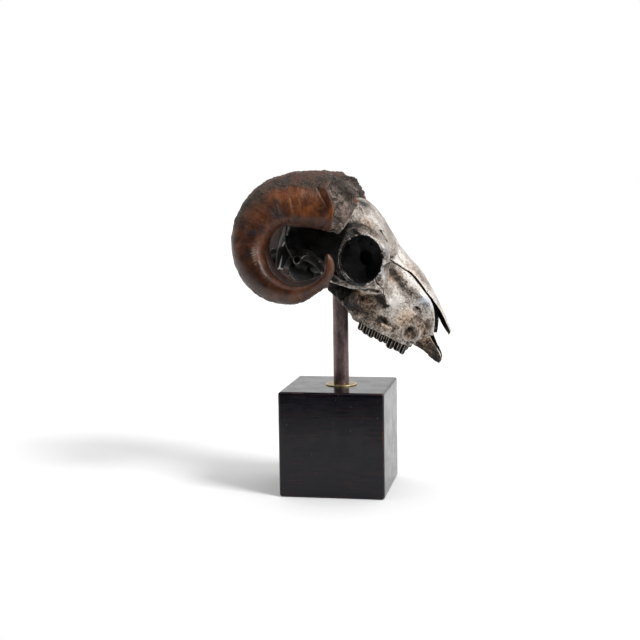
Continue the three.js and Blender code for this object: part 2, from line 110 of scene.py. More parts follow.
def between_cells(values, cell, share):
    """The values at the eight corners of each cell, mixed by how far along it a place lies on each axis."""
    ends = [(cell[..., a] % n, (cell[..., a] + 1) % n) for a, n in enumerate(values.shape)]
    total = 0
    for bits in range(8):
        far = [bits >> a & 1 for a in range(3)]
        weight = 1
        for a in range(3):
            weight = weight * (share[..., a] if far[a] else 1 - share[..., a])
        total = total + weight * values[tuple(ends[a][far[a]] for a in range(3))]
    return total


def noise(p, size, shift=0.0):
    """Smooth noise from -1 to 1 at points p, with bumps about as large as size."""
    q = np.asarray(p, "f4") / size + np.float32(shift)
    cell = np.floor(q).astype(int)
    f = q - cell
    return between_cells(LATTICE, cell, f * f * (3 - 2 * f))


def fbm(p, size, octaves=3, shift=0.0):
    return sum(noise(p, size / 2 ** o, shift + 7.3 * o) / 2 ** o for o in range(octaves)) / 1.6


def smooth(edge0, edge1, x):
    t = np.clip((x - edge0) / (edge1 - edge0), 0, 1)
    return t * t * (3 - 2 * t)


# ---- Solid shapes as distances ------------------------------------------------------------------

def blend_min(a, b, k):
    h = np.clip(0.5 + 0.5 * (b - a) / k, 0, 1)
    return b + (a - b) * h - k * h * (1 - h)


def outline_distance(a, b, outline):
    """Signed distance from a closed outline in a plane."""
    outline = np.asarray(outline, "f4")
    best = np.full(np.broadcast(a, b).shape, 1e9, "f4")
    inside = np.zeros(best.shape, bool)
    for (a0, b0), (a1, b1) in zip(outline, np.roll(outline, -1, 0)):
        da, db = a1 - a0, b1 - b0
        length = da * da + db * db
        if length < 1e-9:
            continue
        t = np.clip(((a - a0) * da + (b - b0) * db) / length, 0, 1)
        best = np.minimum(best, (a - a0 - da * t) ** 2 + (b - b0 - db * t) ** 2)
        if abs(db) > 1e-9:
            inside ^= ((b0 > b) != (b1 > b)) & (a < a0 + (b - b0) * (da / db))
    return np.where(inside, -1, 1) * np.sqrt(best)


def ball(centre, radii):
    centre, radii = np.array(centre, "f4"), np.array(np.broadcast_to(radii, 3), "f4")

    def distance(x, y, z):
        gaps = [x - centre[0], y - centre[1], z - centre[2]]
        near = np.sqrt(sum((g / r) ** 2 for g, r in zip(gaps, radii)))
        steep = np.sqrt(sum((g / (r * r)) ** 2 for g, r in zip(gaps, radii)))
        return near * (near - 1) / np.maximum(steep, 1e-6)
    return centre - radii, centre + radii, distance


def limb(stations, flat=(1, 1, 1), count=None):
    """A round bar through (x, y, z, radius) stations. flat is its scale along each axis."""
    path = spline(stations, count or 5 * len(stations)).astype("f4")
    flat = np.array(flat, "f4")

    def distance(x, y, z):
        best = np.full(np.broadcast(x, y, z).shape, 1e9, "f4")
        for p, q in zip(path, path[1:]):
            run = (q[:3] - p[:3]) / flat
            gx, gy, gz = (x - p[0]) / flat[0], (y - p[1]) / flat[1], (z - p[2]) / flat[2]
            t = np.clip((gx * run[0] + gy * run[1] + gz * run[2]) / max(float(run @ run), 1e-9), 0, 1)
            gap = np.sqrt((gx - run[0] * t) ** 2 + (gy - run[1] * t) ** 2 + (gz - run[2] * t) ** 2)
            best = np.minimum(best, gap - (p[3] + (q[3] - p[3]) * t))
        return best * flat.min()
    thick = path[:, 3:] * np.maximum(flat, 1)
    return (path[:, :3] - thick).min(0), (path[:, :3] + thick).max(0), distance


def slab(outline, y0, y1):
    """A side-view outline in x and z, carried from y0 to y1."""
    outline = np.array(outline, float)

    def distance(x, y, z):
        across = np.abs(y - (y0 + y1) / 2) - (y1 - y0) / 2
        return np.maximum(outline_distance(x[:, :, 0], z[:, 0, :], outline)[:, None, :], across)
    low, high = outline.min(0), outline.max(0)
    return np.array([low[0], y0, low[1]]), np.array([high[0], y1, high[1]]), distance


def stack(x0, x1, section, wide, low, high):
    """Cross-sections, outlines in y and z, stacked along x."""
    def distance(x, y, z):
        out = np.empty((x.shape[0], y.shape[1], z.shape[2]), "f4")
        for i, place in enumerate(x[:, 0, 0]):
            out[i] = outline_distance(y[0], z[0], section(float(np.clip(place, x0, x1))))
        return np.maximum(out, np.maximum(x0 - x, x - x1))
    return np.array([x0, -1.0, low]), np.array([x1, wide, high]), distance


class Bone:
    """A distance field over one half of the skull, on the grid; the other half mirrors it."""

    def __init__(self, low=GRID_LOW, high=GRID_HIGH, step=STEP):
        self.low, self.step = np.array(low, float), step
        self.axes = [np.arange(a, b, step, dtype="f4") for a, b in zip(low, high)]
        self.d = np.full([len(a) for a in self.axes], 9.0, "f4")

    def window(self, low, high, margin):
        return tuple(slice(max(0, int((a - margin - o) / self.step)), max(0, int((b + margin - o) / self.step) + 2))
                     for a, b, o in zip(low, high, self.low))

    def add(self, shape, k=0.3, cut=False):
        low, high, distance = shape
        where = self.window(low, high, k + 4)
        x, y, z = (axis[w] for axis, w in zip(self.axes, where))
        made = distance(x[:, None, None], y[None, :, None], z[None, None, :])
        old = self.d[where]
        self.d[where] = -blend_min(-old, made, k) if cut else blend_min(old, made, k)

    def cut(self, shape, k=0.3):
        self.add(shape, k, cut=True)


# ---- The skull's outline ------------------------------------------------------------------------

roof_z = table(0, 60, 20, 84, 38, 104, 52, 114, 62, 117.5, 75, 116.5, 86, 111, 95, 106.5, 104, 101.5, 122, 92.5,
               139, 86, 155, 80.5, 176, 69, 195, 57, 210, 45.5, 221, 36.5)
roof_edge_y = table(38, 34, 50, 38, 65, 46, 75, 53, 86, 55.5, 95, 54, 105, 50, 115, 43, 126, 30)
roof_edge_z = table(38, 78, 50, 86, 65, 91, 75, 88, 86, 88, 95, 87, 105, 83.5, 115, 79, 126, 76)

# The face's sides, as four corners from the top down: how y and z of each run along x.
face_y = [
    table(78, 26, 100, 24, 120, 21, 135, 18.5, 150, 17.5, 170, 17, 188, 15.5, 205, 17),
    table(78, 22, 100, 24, 110, 38, 120, 48, 128, 41.5, 138, 33, 150, 28.5, 170, 24, 188, 19.5, 205, 18),
    table(78, 18, 100, 19, 112, 36, 121, 48.5, 128, 44, 135, 40, 150, 36, 170, 28, 188, 22.5, 205, 19),
    table(78, 12, 100, 15, 112, 25, 122, 31, 150, 32, 170, 28, 188, 21.5, 205, 17.5)]
face_z = [
    table(78, 96, 100, 92, 120, 82, 135, 77, 150, 72.5, 170, 64, 187, 55.5, 194, 47.5, 201, 36.5, 207, 22),
    table(78, 80, 100, 76, 110, 70, 120, 65, 128, 61, 138, 57, 150, 52, 170, 43, 188, 35, 205, 17),
    table(78, 60, 100, 52, 120, 46, 135, 40, 150, 33, 170, 24, 188, 18, 205, 12),
    table(78, 18, 100, 13, 110, 6, 117, -1, 122, -3, 150, -2, 170, -1, 188, -0.5, 205, 3)]

nasal_edge = table(116, 5, 122, 11, 135, 15, 160, 16.5, 180, 15.5, 195, 13, 210, 9.5, 218, 6.5, 221, 4)
nasal_drop = table(116, 3, 122, 6, 142, 9.5, 160, 7.5, 175, 6, 190, 6, 205, 4.5, 221, 1.5)


def mirrored(half):
    """A closed outline from its half at y > 0, listed from the top down."""
    half = np.array(half, float)
    return np.concatenate([half, half[::-1] * [-1, 1]])


def roof_section(x):
    top, y, z = roof_z(x), roof_edge_y(x), roof_edge_z(x)
    mix = lambda t: top + (z - top) * t
    upper = spline([[0, top], [y * 0.45, mix(0.16)], [y * 0.82, mix(0.6)], [y, z]], 9)
    return mirrored([*upper, [y - 2.5, z - 5], [y * 0.6, z - 9], [14, z - 26]])


def face_section(x):
    return mirrored(spline([[0, face_z[0](x) + 1.0], *([fy(x), fz(x)] for fy, fz in zip(face_y, face_z))], 14))


def nose_section(x):
    wide, low, top = face_y[0](x) - 2.6, table(126, 16, 150, 12, 212, 9)(x), face_z[0](x)
    pinch = table(126, 0.5, 140, 1, 188, 1, 212, 0.72)(x)
    return mirrored([[wide, roof_z(x) + 8], [wide, top - 4], [wide * 1.05 * pinch, low + (top - low) * 0.4],
                     [wide * 0.6 * pinch, low]])


def mouth_section(x):
    wide = table(60, 12, 100, 13, 112, 15, 135, 18.5, 165, 15, 188, 11, 215, 8)(x)
    roof = table(60, 9, 100, 13, 112, 8, 135, 7, 165, 7, 188, 6, 215, 5)(x)
    return mirrored([[0, roof + 0.8], [wide * 0.6, roof], [wide, roof - 3.5], [wide, -20]])


def bed_section(x):
    edge, drop, under = nasal_edge(x) + 0.5, nasal_drop(x), roof_z(x) - 2.7
    return mirrored([[edge, under + 30], [edge, under - drop], [edge * 0.85, under - drop],
                     [edge * 0.6, under - drop * 0.5], [0, under]])


def nasal_section(x, worn, slim):
    edge, drop, top = nasal_edge(x), nasal_drop(x) * worn(x), roof_z(x)
    thick = min(2.5, edge * 0.7) * slim(x)
    over = spline([[0, top], [edge * 0.4, top - drop * 0.12], [edge * 0.75, top - drop * 0.45],
                   [edge, top - drop]], 8)
    under = spline([[edge * 0.94, top - drop - thick * 0.45], [edge * 0.66, top - thick - drop * 0.45],
                    [edge * 0.35, top - thick - drop * 0.12], [0, top - thick]], 7)
    return np.concatenate([over, under, [[-3, top - thick], [-3, top]]])


def orbit_frame(x, z):
    """How far along and up a place lies in the orbit's oval, where 1 is its edge."""
    c, s = math.cos(NOSE_DOWN), math.sin(NOSE_DOWN)
    dx, dz = x - ORBIT["x"], z - ORBIT["z"]
    return (dx * c + dz * s) / ORBIT["long"], (dz * c - dx * s) / ORBIT["high"]


def orbit_rim(angle):
    """A point of the rim, at an angle measured from the front."""
    c, s, grow = math.cos(NOSE_DOWN), math.sin(NOSE_DOWN), 1.7
    across, up = (ORBIT["long"] + grow) * math.cos(angle), (ORBIT["high"] + grow) * math.sin(angle)
    x, z = across * c - up * s, across * s + up * c
    forward = 0.5 + 0.5 * x / ORBIT["long"]
    y = ORBIT["back"] + (ORBIT["front"] - ORBIT["back"]) * forward - 3.5 * z / ORBIT["high"]
    return ORBIT["x"] + x, y, ORBIT["z"] + z


def orbit_hollow():
    """The orbit's cavity, ragged along its upper edge, and narrower toward the midline."""
    scale = table(19, 0.3, 28, 0.74, 40, 0.94, 50, 1.0, 58, 1.02, 74, 1.4)
    nicks = random.random(96)

    def distance(x, y, z):
        a, b = orbit_frame(x, z)
        place = (np.arctan2(b, a) / (2 * math.pi)) % 1.0 * len(nicks)
        jag = nicks[place.astype(int) % len(nicks)] * (1 - np.abs(2 * (place - np.floor(place)) - 1))
        turn = place / len(nicks) * 360
        ragged = smooth(-2, 30, turn) * smooth(165, 120, turn) + smooth(330, 350, turn)
        edge = scale(y) + (0.07 * np.clip(ragged, 0, 1) * jag) * smooth(46, 52, y)
        return (np.sqrt(a * a + b * b) - edge) * 22.0  # about the oval's mean radius
    return np.array([64, CAVITY, 28.0]), np.array([132, 74, 98.0]), distance


# ---- Bones --------------------------------------------------------------------------------------

def build_skull():
    bone = Bone()
    put, cut = bone.add, bone.cut
    put(ball((40, 0, 53), (46, 34, 38)))
    put(stack(38, 125, roof_section, 58, 40, 119), 3)
    # occiput and the underside of the braincase
    put(limb([(2, 0, 12, 11), (30, 0, 15, 11), (60, 0, 17, 8), (96, 0, 20, 8)], flat=(1, 1.15, 1)), 3)
    put(ball((14, 0, 38), (15, 33, 28)), 4)
    put(limb([(26, 38, 27, 3.4), (18, 39, 32, 3.2), (9, 35, 41, 3), (3, 25, 55, 2.8), (4, 0, 63, 3.4)],
             flat=(0.8, 1, 1)), 2.5)
    put(limb([(6, 0, 62, 2), (22, 0, 84, 2), (36, 0, 98, 2)]), 4)
    put(limb([(14, 0, 57, 6), (13, 14, 54, 6.5), (16, 26, 44, 7)]), 3)
    put(ball((7, 13, 3), (8.5, 8.5, 11)), 2.5)
    put(limb([(13, 27, 22, 7.5), (17, 30, 8, 5), (22.5, 29, -7, 1.8)], flat=(1, 0.8, 1)), 4)
    put(ball((42, 24, 12), (15.5, 9.5, 11.5)), 2)
    put(limb([(38, 22, 22, 7.5), (34, 40, 25, 5.8)]), 3)
    put(limb([(54, 33, 26, 6), (62, 42, 33, 5), (56, 49, 36, 5)]), 4)  # jaw joint
    # cheek: arch, plate, root and crest
    put(limb([(126, 44, 46, 5.5), (116, 53, 38.5, 5), (104, 57.5, 32, 4.5), (90, 59, 29, 4.2), (70, 58, 31.5, 4),
              (54, 50, 36, 5.2), (38, 40, 34, 5.5), (22, 35, 30, 4)], flat=(1, 0.72, 1.15)), 3)
    put(slab([[82, 42], [84, 30], [100, 27], [118, 31], [127, 38], [122, 48], [108, 43], [94, 42]], 47, 53), 3)
    put(limb([(116, 24, 20, 14), (121, 35, 32, 12), (124, 44, 44, 8)]), 6)
    put(limb([(126, 43, 43, 5.5), (136, 39.5, 39, 4.5), (144, 36, 34, 3.6)]), 6)
    put(limb([(102, 45, 86, 5), (114, 44, 80, 6.5), (123, 43, 62, 6), (126, 44, 48, 6)]), 5)
    # face
    put(stack(78, 207, face_section, 52, -5, 98), 4)
    # orbit: the rim is a thin raised edge round the hollow
    low_rim = lambda a: smooth(115, 165, math.degrees(a)) * smooth(345, 300, math.degrees(a))
    rim = []
    for a in np.linspace(0, 2 * math.pi, 41):
        x, y, z = orbit_rim(a)
        rim.append((x, y - 2.6 * (1 - low_rim(a)), z, 1.3 + 0.6 * low_rim(a)))
    put(limb(rim, count=64), 3)
    put(limb([(70, 50, 84, 6), (73, 57, 70, 4), (76, 58, 56, 3.4), (82, 58, 42, 4)], flat=(1, 0.7, 1)), 4)
    # the horns' bony stumps
    put(limb([(80, 16, 90, 18), (68, 24, 92, 20), (58, 33, 94, 20.5)]), 6)
    # throat
    put(slab([[70, 18], [77, 8], [88, 6], [94, 3], [101, 2], [110, 3], [117, 8], [112, 22], [84, 26]], 11.5, 15), 1.5)
    put(limb([(98, 14, 14, 6), (106, 18, 11, 6.5), (113, 23, 7, 6.5), (123, 28, 4, 7)]), 4)
    put(limb([(88, 15, 13, 3.5), (96, 17, 7, 3.2), (104, 20, 5, 2.8), (112, 25, 2.5, 2.6)]), 2)
    # the ridge under the orbit, with a sharp lower edge
    ridge = [(80.8, 58.6, 26.4), (92, 60.8, 28), (104.3, 60, 32), (114.6, 56.6, 36.8), (122.5, 52.4, 42.2),
             (129.4, 48.2, 44), (136.1, 44.0, 42.3), (140.4, 41.2, 39), (143, 39.4, 35.5)]
    put(limb([(*p, 1.7) for p in ridge], count=40), 1.8)
    put(ball((144.5, 37.6, 33.5), (3.6, 3.2, 3.6)), 2)
    # hollows
    cut(limb([(86, 62, 19, 6), (98, 60, 20, 8), (110, 53, 23, 8), (121, 47, 27, 6), (130, 44, 29, 4)]), 5)
    cut(limb([(x, y + 1.4, z - 3.6, 2.1) for x, y, z in ridge[:-3]], count=40), 1.6)
    cut(limb([(94, 66.5, 44, 5), (106, 63.5, 44, 5), (117, 59.5, 50, 4)]), 5)
    cut(limb([(128, 45.5, 67, 6), (136, 38.5, 66, 6.5), (143, 34, 64, 5)]), 6)
    cut(limb([(60, 47, 60, 11), (62, 46, 70, 10), (56, 44, 50, 9)]), 6)
    cut(orbit_hollow(), 0.7)
    cut(limb([(99, 30, 97.5, 1.6), (104, 31, 95.2, 1.9), (110, 30, 92, 1.4)]), 1)
    cut(limb([(96, 25, 80, 1.6), (98, 31, 97, 1.8), (99, 33, 106, 1.9)]), 1.2)
    cut(limb([(35, 30, 24, 3.2), (32, 50, 25.5, 3.6)]), 1)
    cut(limb([(-12, 0, 13, 9.5), (26, 0, 24, 8.5)]), 1.5)
    cut(stack(126, 214, nose_section, 30, 4, 100), 1)
    cut(stack(58, 220, mouth_section, 20, -24, 15), 1.5)
    cut(stack(115.5, 222, bed_section, 18, 20, 125), 0.5)
    cut(limb([(108, 40, -9, 6), (118, 38, -13, 7), (100, 38, -6, 5)]), 3)
    # holes and pits of the face
    cut(ball((184.8, 27.0, 14.4), (9.0, 7.6, 11.2)), 0.7)
    cut(limb([(181, 21.2, 17, 1.8), (174, 18.5, 19, 1.8)]), 1.2)
    put(limb([(190.6, 20.6, 9.5, 1.2), (192.6, 20.4, 15, 1.3), (190.4, 20.6, 21.5, 1.1)]), 1.4)
    cut(ball((178, 24.4, 41.2), (7.4, 4.0, 5.0)), 1.2)
    cut(limb([(180.5, 21.4, 42.6, 0.8), (176.5, 20.6, 42.2, 1.3), (173, 18.5, 42, 1.2)]), 0.8)
    cut(ball((149.5, 37.0, 13.8), (6.4, 4.6, 4.4)), 1.0)
    cut(limb([(145, 34.6, 13.4, 1.5), (152.5, 33.0, 12.4, 2.0)]), 0.8)
    put(limb([(150, 34.2, 8.6, 1.1), (157, 32.0, 8.0, 1.5), (162.5, 30.2, 9.2, 1.3)]), 1.6)
    cut(limb([(204, 22.5, 22, 2.2), (199, 21.8, 34, 2.2), (193, 19.6, 45, 1.8)]), 3)
    return bone


def brow_plate_section(x):
    """The frontal bone's thin front process, which lies over the root of the nasals and the maxilla."""
    inner = nasal_edge(x) + 0.4
    edge_y, edge_z = brow_edge_y(x), brow_edge_z(x)
    top = roof_z(x) - nasal_drop(x) + 0.4
    over = spline([[inner, top], [(inner + edge_y) / 2, (top + edge_z) / 2 + 1.4], [edge_y, edge_z]], 8)
    return np.concatenate([over, over[::-1] - [0.5, 2.3]])


brow_edge_y = table(106, 42, 116, 37, 124.2, 31.8, 134.3, 23.6, 143.9, 19.4, 150, 16.6)
brow_edge_z = table(106, 86, 116, 80.5, 124.2, 77, 134.3, 75.4, 143.9, 74.2, 150, 75)


def premaxilla_section(x):
    outer = table(190, 21, 203, 19, 213, 14.5, 220, 10.5, 227, 7.5)(x)
    inner = table(190, 16, 203, 14.5, 213, 8, 220, 4, 227, 3)(x)
    low = table(190, 4, 203, 3, 213, 1, 220, -0.6, 227, -1.2)(x)
    high = table(190, 30, 198, 28, 203, 23, 213, 15.5, 219, 12, 224, 8.5, 227, 5)(x)
    mix = lambda a, b, t: a + (b - a) * t
    return [[outer, mix(low, high, 0.45)], [mix(outer, inner, 0.35), low], [inner, low + 1.2],
            [inner, mix(low, high, 0.5)], [mix(outer, inner, 0.4), high], [outer, mix(low, high, 0.8)]]


def build_premaxilla():
    bone = Bone((180, 0, -12), (234, 32, 40), STEP * 0.75)
    bone.add(stack(188, 227, premaxilla_section, 23, -3, 30), 1)
    bone.add(limb([(188, 5, 8, 1.5), (205, 4.5, 4.5, 1.9), (222, 4, 0.5, 2.4)]), 1.5)
    bone.add(limb([(214, 6, 1.6, 2.4), (226, 5, 0.4, 2.2)]), 2)
    bone.cut(limb([(199, 21, 4, 2.4), (208, 17.5, 2.6, 2), (216, 13.5, 0.8, 1.4)]), 2)
    bone.cut(limb([(203, 21.5, 13, 1.6), (211, 18, 9.5, 1.6), (219, 13, 6.5, 1.0)]), 2)
    bone.cut(limb([(221.5, 8, 6.5, 0.9), (229, 8, 3, 1.6)]), 0.6)
    return bone


def build_nasal(side):
    bone = Bone((110, 0, 26), (226, 24, 96), STEP * 0.75)
    if side < 0:
        worn, slim = table(176, 1, 190, 0.55, 200, 0.3, 221, 0.2), table(176, 1, 196, 0.72, 221, 0.7)
    else:
        worn, slim = table(178, 1, 190, 1.5, 200, 2.1, 212, 2.7, 221, 3.4), table(0, 1, 230, 1)
    bone.add(stack(115.6, 221, lambda x: nasal_section(x, worn, slim), 22, 28, 96), 0.3)
    return bone


def build_teeth():
    """Five cheek teeth a side, in two or three lobes, and the lines of the ribs along their outer faces."""
    bone = Bone((120, 8, -18), (198, 40, 8), TOOTH_STEP)
    lobes = [7.3, 7.3, 6.5, 6.4, 5.2, 5.1, 8.4, 7.6, 6.7]
    depths = [-10.2, -11.6, -12.4, -10.6, -11.8, -10.4, -12.6, -11.2, -11.9]
    first, long = 128.0, 60.5  # where the row begins, and its length
    x, scale, ribs = first, long / sum(lobes), []
    for i, (length, deep) in enumerate(zip(lobes, depths)):
        half = length * scale / 2
        x += half
        t = (x - first) / long
        y, wide = 27 - 9.5 * t, 6.4 - 2 * t
        lean = 1.9 if i < 6 else 1.2
        root = x - lean
        bone.add(limb([(root, y, 3, half), (x, y, deep + 2, half * 0.92)], flat=(1, wide / half, 1), count=3), 0.4)
        for turn, reach, fat in ((-0.92, 0.95, 1.0), (0.16, 0.98, 0.75)):
            out = y + wide * reach
            rib = [(root + turn * half, out - 0.2, 2, fat), (x + turn * half, out - 0.5, deep + 1.4, fat * 0.8)]
            bone.add(limb(rib, count=3), 0.35)
            ribs.append(rib)
        groove = [(root - half * 0.6, y + wide + 1.2, 1, 1.2), (x - half * 0.6, y + wide + 1.0, deep, 1.1)]
        bone.cut(limb(groove, count=3), 0.4)
        bone.cut(ball((x, y, deep - 1.2), (half * 0.55, wide * 0.7, 2.2)), 0.4)
        x += half
    return bone, ribs


def rib_mark(points, ribs):
    """Close to the crest of a tooth's rib."""
    points = folded(points)
    best = np.zeros(len(points))
    for rib in ribs:
        (p, q), fat = np.array(rib)[:, :3], rib[0][3]
        run = q - p
        t = np.clip((points - p) @ run / (run @ run), 0, 1)
        gap = (points - p - t[:, None] * run)[:, 0] / (0.42 * fat)
        best = np.maximum(best, np.exp(-gap ** 2) * smooth(-0.2, 0.5, points[:, 1] - p[1] + 1.2))
    return best


SNOUT_JOINT = ([-20, 3, 14, 23, 30], [193, 191, 197, 204, 219])  # heights, and how far forward the upper jaw reaches


# ---- Skins --------------------------------------------------------------------------------------

def loose_parts(count, faces):
    """A label for every vertex: vertices of one connected part share it."""
    label = np.arange(count)
    while True:
        least = label[faces].min(1)
        before = label.copy()
        for corner in faces.T:
            np.minimum.at(label, corner, least)
        label = label[label]
        if (label == before).all():
            return label


def skin(d, low, step):
    """The surface of a distance field, as vertices and four-sided faces, without crumbs."""
    padded = np.pad(np.clip(d, -3 * step, 3 * step), 2, constant_values=3 * step)
    grid = openvdb.FloatGrid(background=3 * step)
    grid.copyFromArray(padded.astype("f4"))
    points, faces = grid.convertToQuads(isovalue=0.0)
    faces = faces.astype(np.int64)
    label = loose_parts(len(points), faces)
    sizes = np.bincount(label, minlength=len(points))
    keep = sizes[label] > max(60, 0.02 * sizes.max())  # vertices of the smallest part that isn't a crumb
    faces = faces[keep[faces[:, 0]]]
    new = np.cumsum(keep) - 1
    return np.asarray(low) + (points[keep] - 2.0) * step, new[faces]


def whole_field(bone, d=None):
    """Both halves of a field, mirrored over the midline, and the low corner of the result."""
    d = bone.d if d is None else d
    return np.concatenate([d[:, :0:-1], d], 1), np.array([bone.low[0], -bone.axes[1][-1], bone.low[2]])


def blurred(field, reach):
    """A soft average over about reach cells each way."""
    for _ in range(2):
        for axis in range(3):
            width = [(reach + 1, reach) if a == axis else (0, 0) for a in range(3)]
            run = np.cumsum(np.pad(field, width, mode="edge"), axis=axis, dtype="f8")
            ends = [slice(None)] * 3
            starts = [slice(None)] * 3
            ends[axis], starts[axis] = slice(2 * reach + 1, None), slice(None, -2 * reach - 1)
            field = ((run[tuple(ends)] - run[tuple(starts)]) / (2 * reach + 1)).astype("f4")
    return field


def read_field(field, low, step, points):
    q = np.clip((points - low) / step, 0, np.array(field.shape) - 1.001)
    cell = q.astype(int)
    return between_cells(field, cell, q - cell)


def normals_of(points, faces):
    corners = points[faces]
    flat = np.cross(corners[:, 2] - corners[:, 0], corners[:, 3] - corners[:, 1])
    out = np.zeros_like(points)
    for corner in faces.T:
        for axis in range(3):
            out[:, axis] += np.bincount(corner, flat[:, axis], len(points))
    return out / np.maximum(np.linalg.norm(out, axis=1, keepdims=True), 1e-9)


def set_in_place(p):
    """From the skull's frame to the stand's."""
    c, s = math.cos(NOSE_DOWN), math.sin(NOSE_DOWN)
    return np.stack([p[:, 0] * c + p[:, 2] * s, p[:, 1], p[:, 2] * c - p[:, 0] * s], 1) + SKULL_AT


def new_piece(name, points, faces, material):
    """A smooth mesh from points in metres, in the scene."""
    mesh = bpy.data.meshes.new(name)
    mesh.vertices.add(len(points))
    mesh.vertices.foreach_set("co", points.astype("f4").ravel())
    mesh.loops.add(faces.size)
    mesh.loops.foreach_set("vertex_index", faces.ravel().astype("i4"))
    mesh.polygons.add(len(faces))
    mesh.polygons.foreach_set("loop_start", np.arange(0, faces.size, faces.shape[1], dtype="i4"))
    mesh.update(calc_edges=True)
    mesh.validate()
    mesh.polygons.foreach_set("use_smooth", np.ones(len(mesh.polygons), bool))
    mesh.materials.append(material)
    piece = bpy.data.objects.new(name, mesh)
    bpy.context.scene.collection.objects.link(piece)
    return piece


def show(name, points, faces, material, nodes, marks=None, sharp=None):
    """Makes a visible piece from points in the stand's frame, with a number for each vertex under each mark."""
    piece = new_piece(name, points / 1000, faces, material)
    for mark, values in (marks or {}).items():
        layer = piece.data.attributes.new(mark, "FLOAT", "POINT")
        layer.data.foreach_set("value", np.asarray(values, "f4"))
    if sharp:
        piece.data.set_sharp_from_angle(angle=math.radians(sharp))
    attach(piece, "root")
    for node in nodes:
        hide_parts(node)


# ---- Materials ----------------------------------------------------------------------------------

class Wire:
    """An output of a material's node, which adds and multiplies like a number."""

    def __init__(self, paint, socket):
        self.paint, self.socket = paint, socket

    def __add__(self, other):
        return self.paint.sum("ADD", self, other)

    def __sub__(self, number):
        return self + -number

    def __mul__(self, other):
        return self.paint.sum("MULTIPLY", self, other)

    def off(self, gain):
        """Its distance from the middle of its range, times a gain."""
        return (self - 0.5) * gain

    def span(self, low, high, to_low=0.0, to_high=1.0):
        """Eased from one range to another."""
        return self.paint.node("MapRange", setup=dict(interpolation_type="SMOOTHSTEP"), Value=self, From_Min=low,
                               From_Max=high, To_Min=to_low, To_Max=to_high)


class Paint:
    """The node tree of a material or a world, written as calls. An argument is a wire or a plain value."""

    def __init__(self, owner):
        self.owner = bpy.data.materials.new(owner) if isinstance(owner, str) else owner
        self.owner.use_nodes = True
        self.tree = self.owner.node_tree
        self.tree.nodes.clear()

    def feed(self, socket, value):
        if isinstance(value, Wire):
            self.tree.links.new(value.socket, socket)
        elif value is not None:
            color = socket.type == "RGBA" and len(value) == 3
            socket.default_value = (*value, 1.0) if color else value

    def node(self, kind, out=0, setup=None, **inputs):
        made = self.tree.nodes.new("ShaderNode" + kind)
        for key, value in (setup or {}).items():
            setattr(made, key, value)
        for key, value in inputs.items():
            self.feed(made.inputs[int(key[1:]) if key[1:].isdigit() else key.replace("_", " ")], value)
        return Wire(self, made.outputs[out])

    def marks(self, names):
        return [self.node("Attribute", out="Fac", setup=dict(attribute_name=name)) for name in names.split()]

    def place(self):
        return self.node("TexCoord", out="Object")

    def sum(self, kind, a, b, clamp=False):
        return self.node("Math", setup=dict(operation=kind, use_clamp=clamp), _0=a, _1=b)

    def mix(self, share, a, b, kind="MIX"):
        return self.node("Mix", out=2, setup=dict(data_type="RGBA", blend_type=kind), _0=share, _6=a, _7=b)

    def ramp(self, value, *stops):
        """A colour for a value, between stops of place, red, green and blue."""
        made = self.node("ValToRGB", Fac=value)
        bar = made.socket.node.color_ramp
        while len(bar.elements) < len(stops):
            bar.elements.new(0.5)
        for element, (place, *color) in zip(bar.elements, stops):
            element.position, element.color = place, (*color, 1.0)
        return made

    def noise(self, scale, detail=4.0, rough=0.55, vector=None, warp=0.0):
        return self.node("TexNoise", Vector=vector or self.place(), Scale=scale, Detail=detail, Roughness=rough,
                         Distortion=warp)

    def cells(self, scale, feature="F1"):
        return self.node("TexVoronoi", out="Distance", setup=dict(feature=feature), Vector=self.place(), Scale=scale)

    def bump(self, height, strength, distance, under=None):
        return self.node("Bump", Height=height, Strength=strength, Distance=distance, Normal=under)

    def finish(self, color, roughness, normal=None, metallic=0.0, **constants):
        shader = self.node("BsdfPrincipled", Base_Color=color, Roughness=roughness, Metallic=metallic, Normal=normal,
                           **constants)
        return self.output("Material", shader)

    def output(self, kind, shader):
        self.feed(self.tree.nodes.new("ShaderNodeOutput" + kind).inputs["Surface"], shader)
        return self.owner


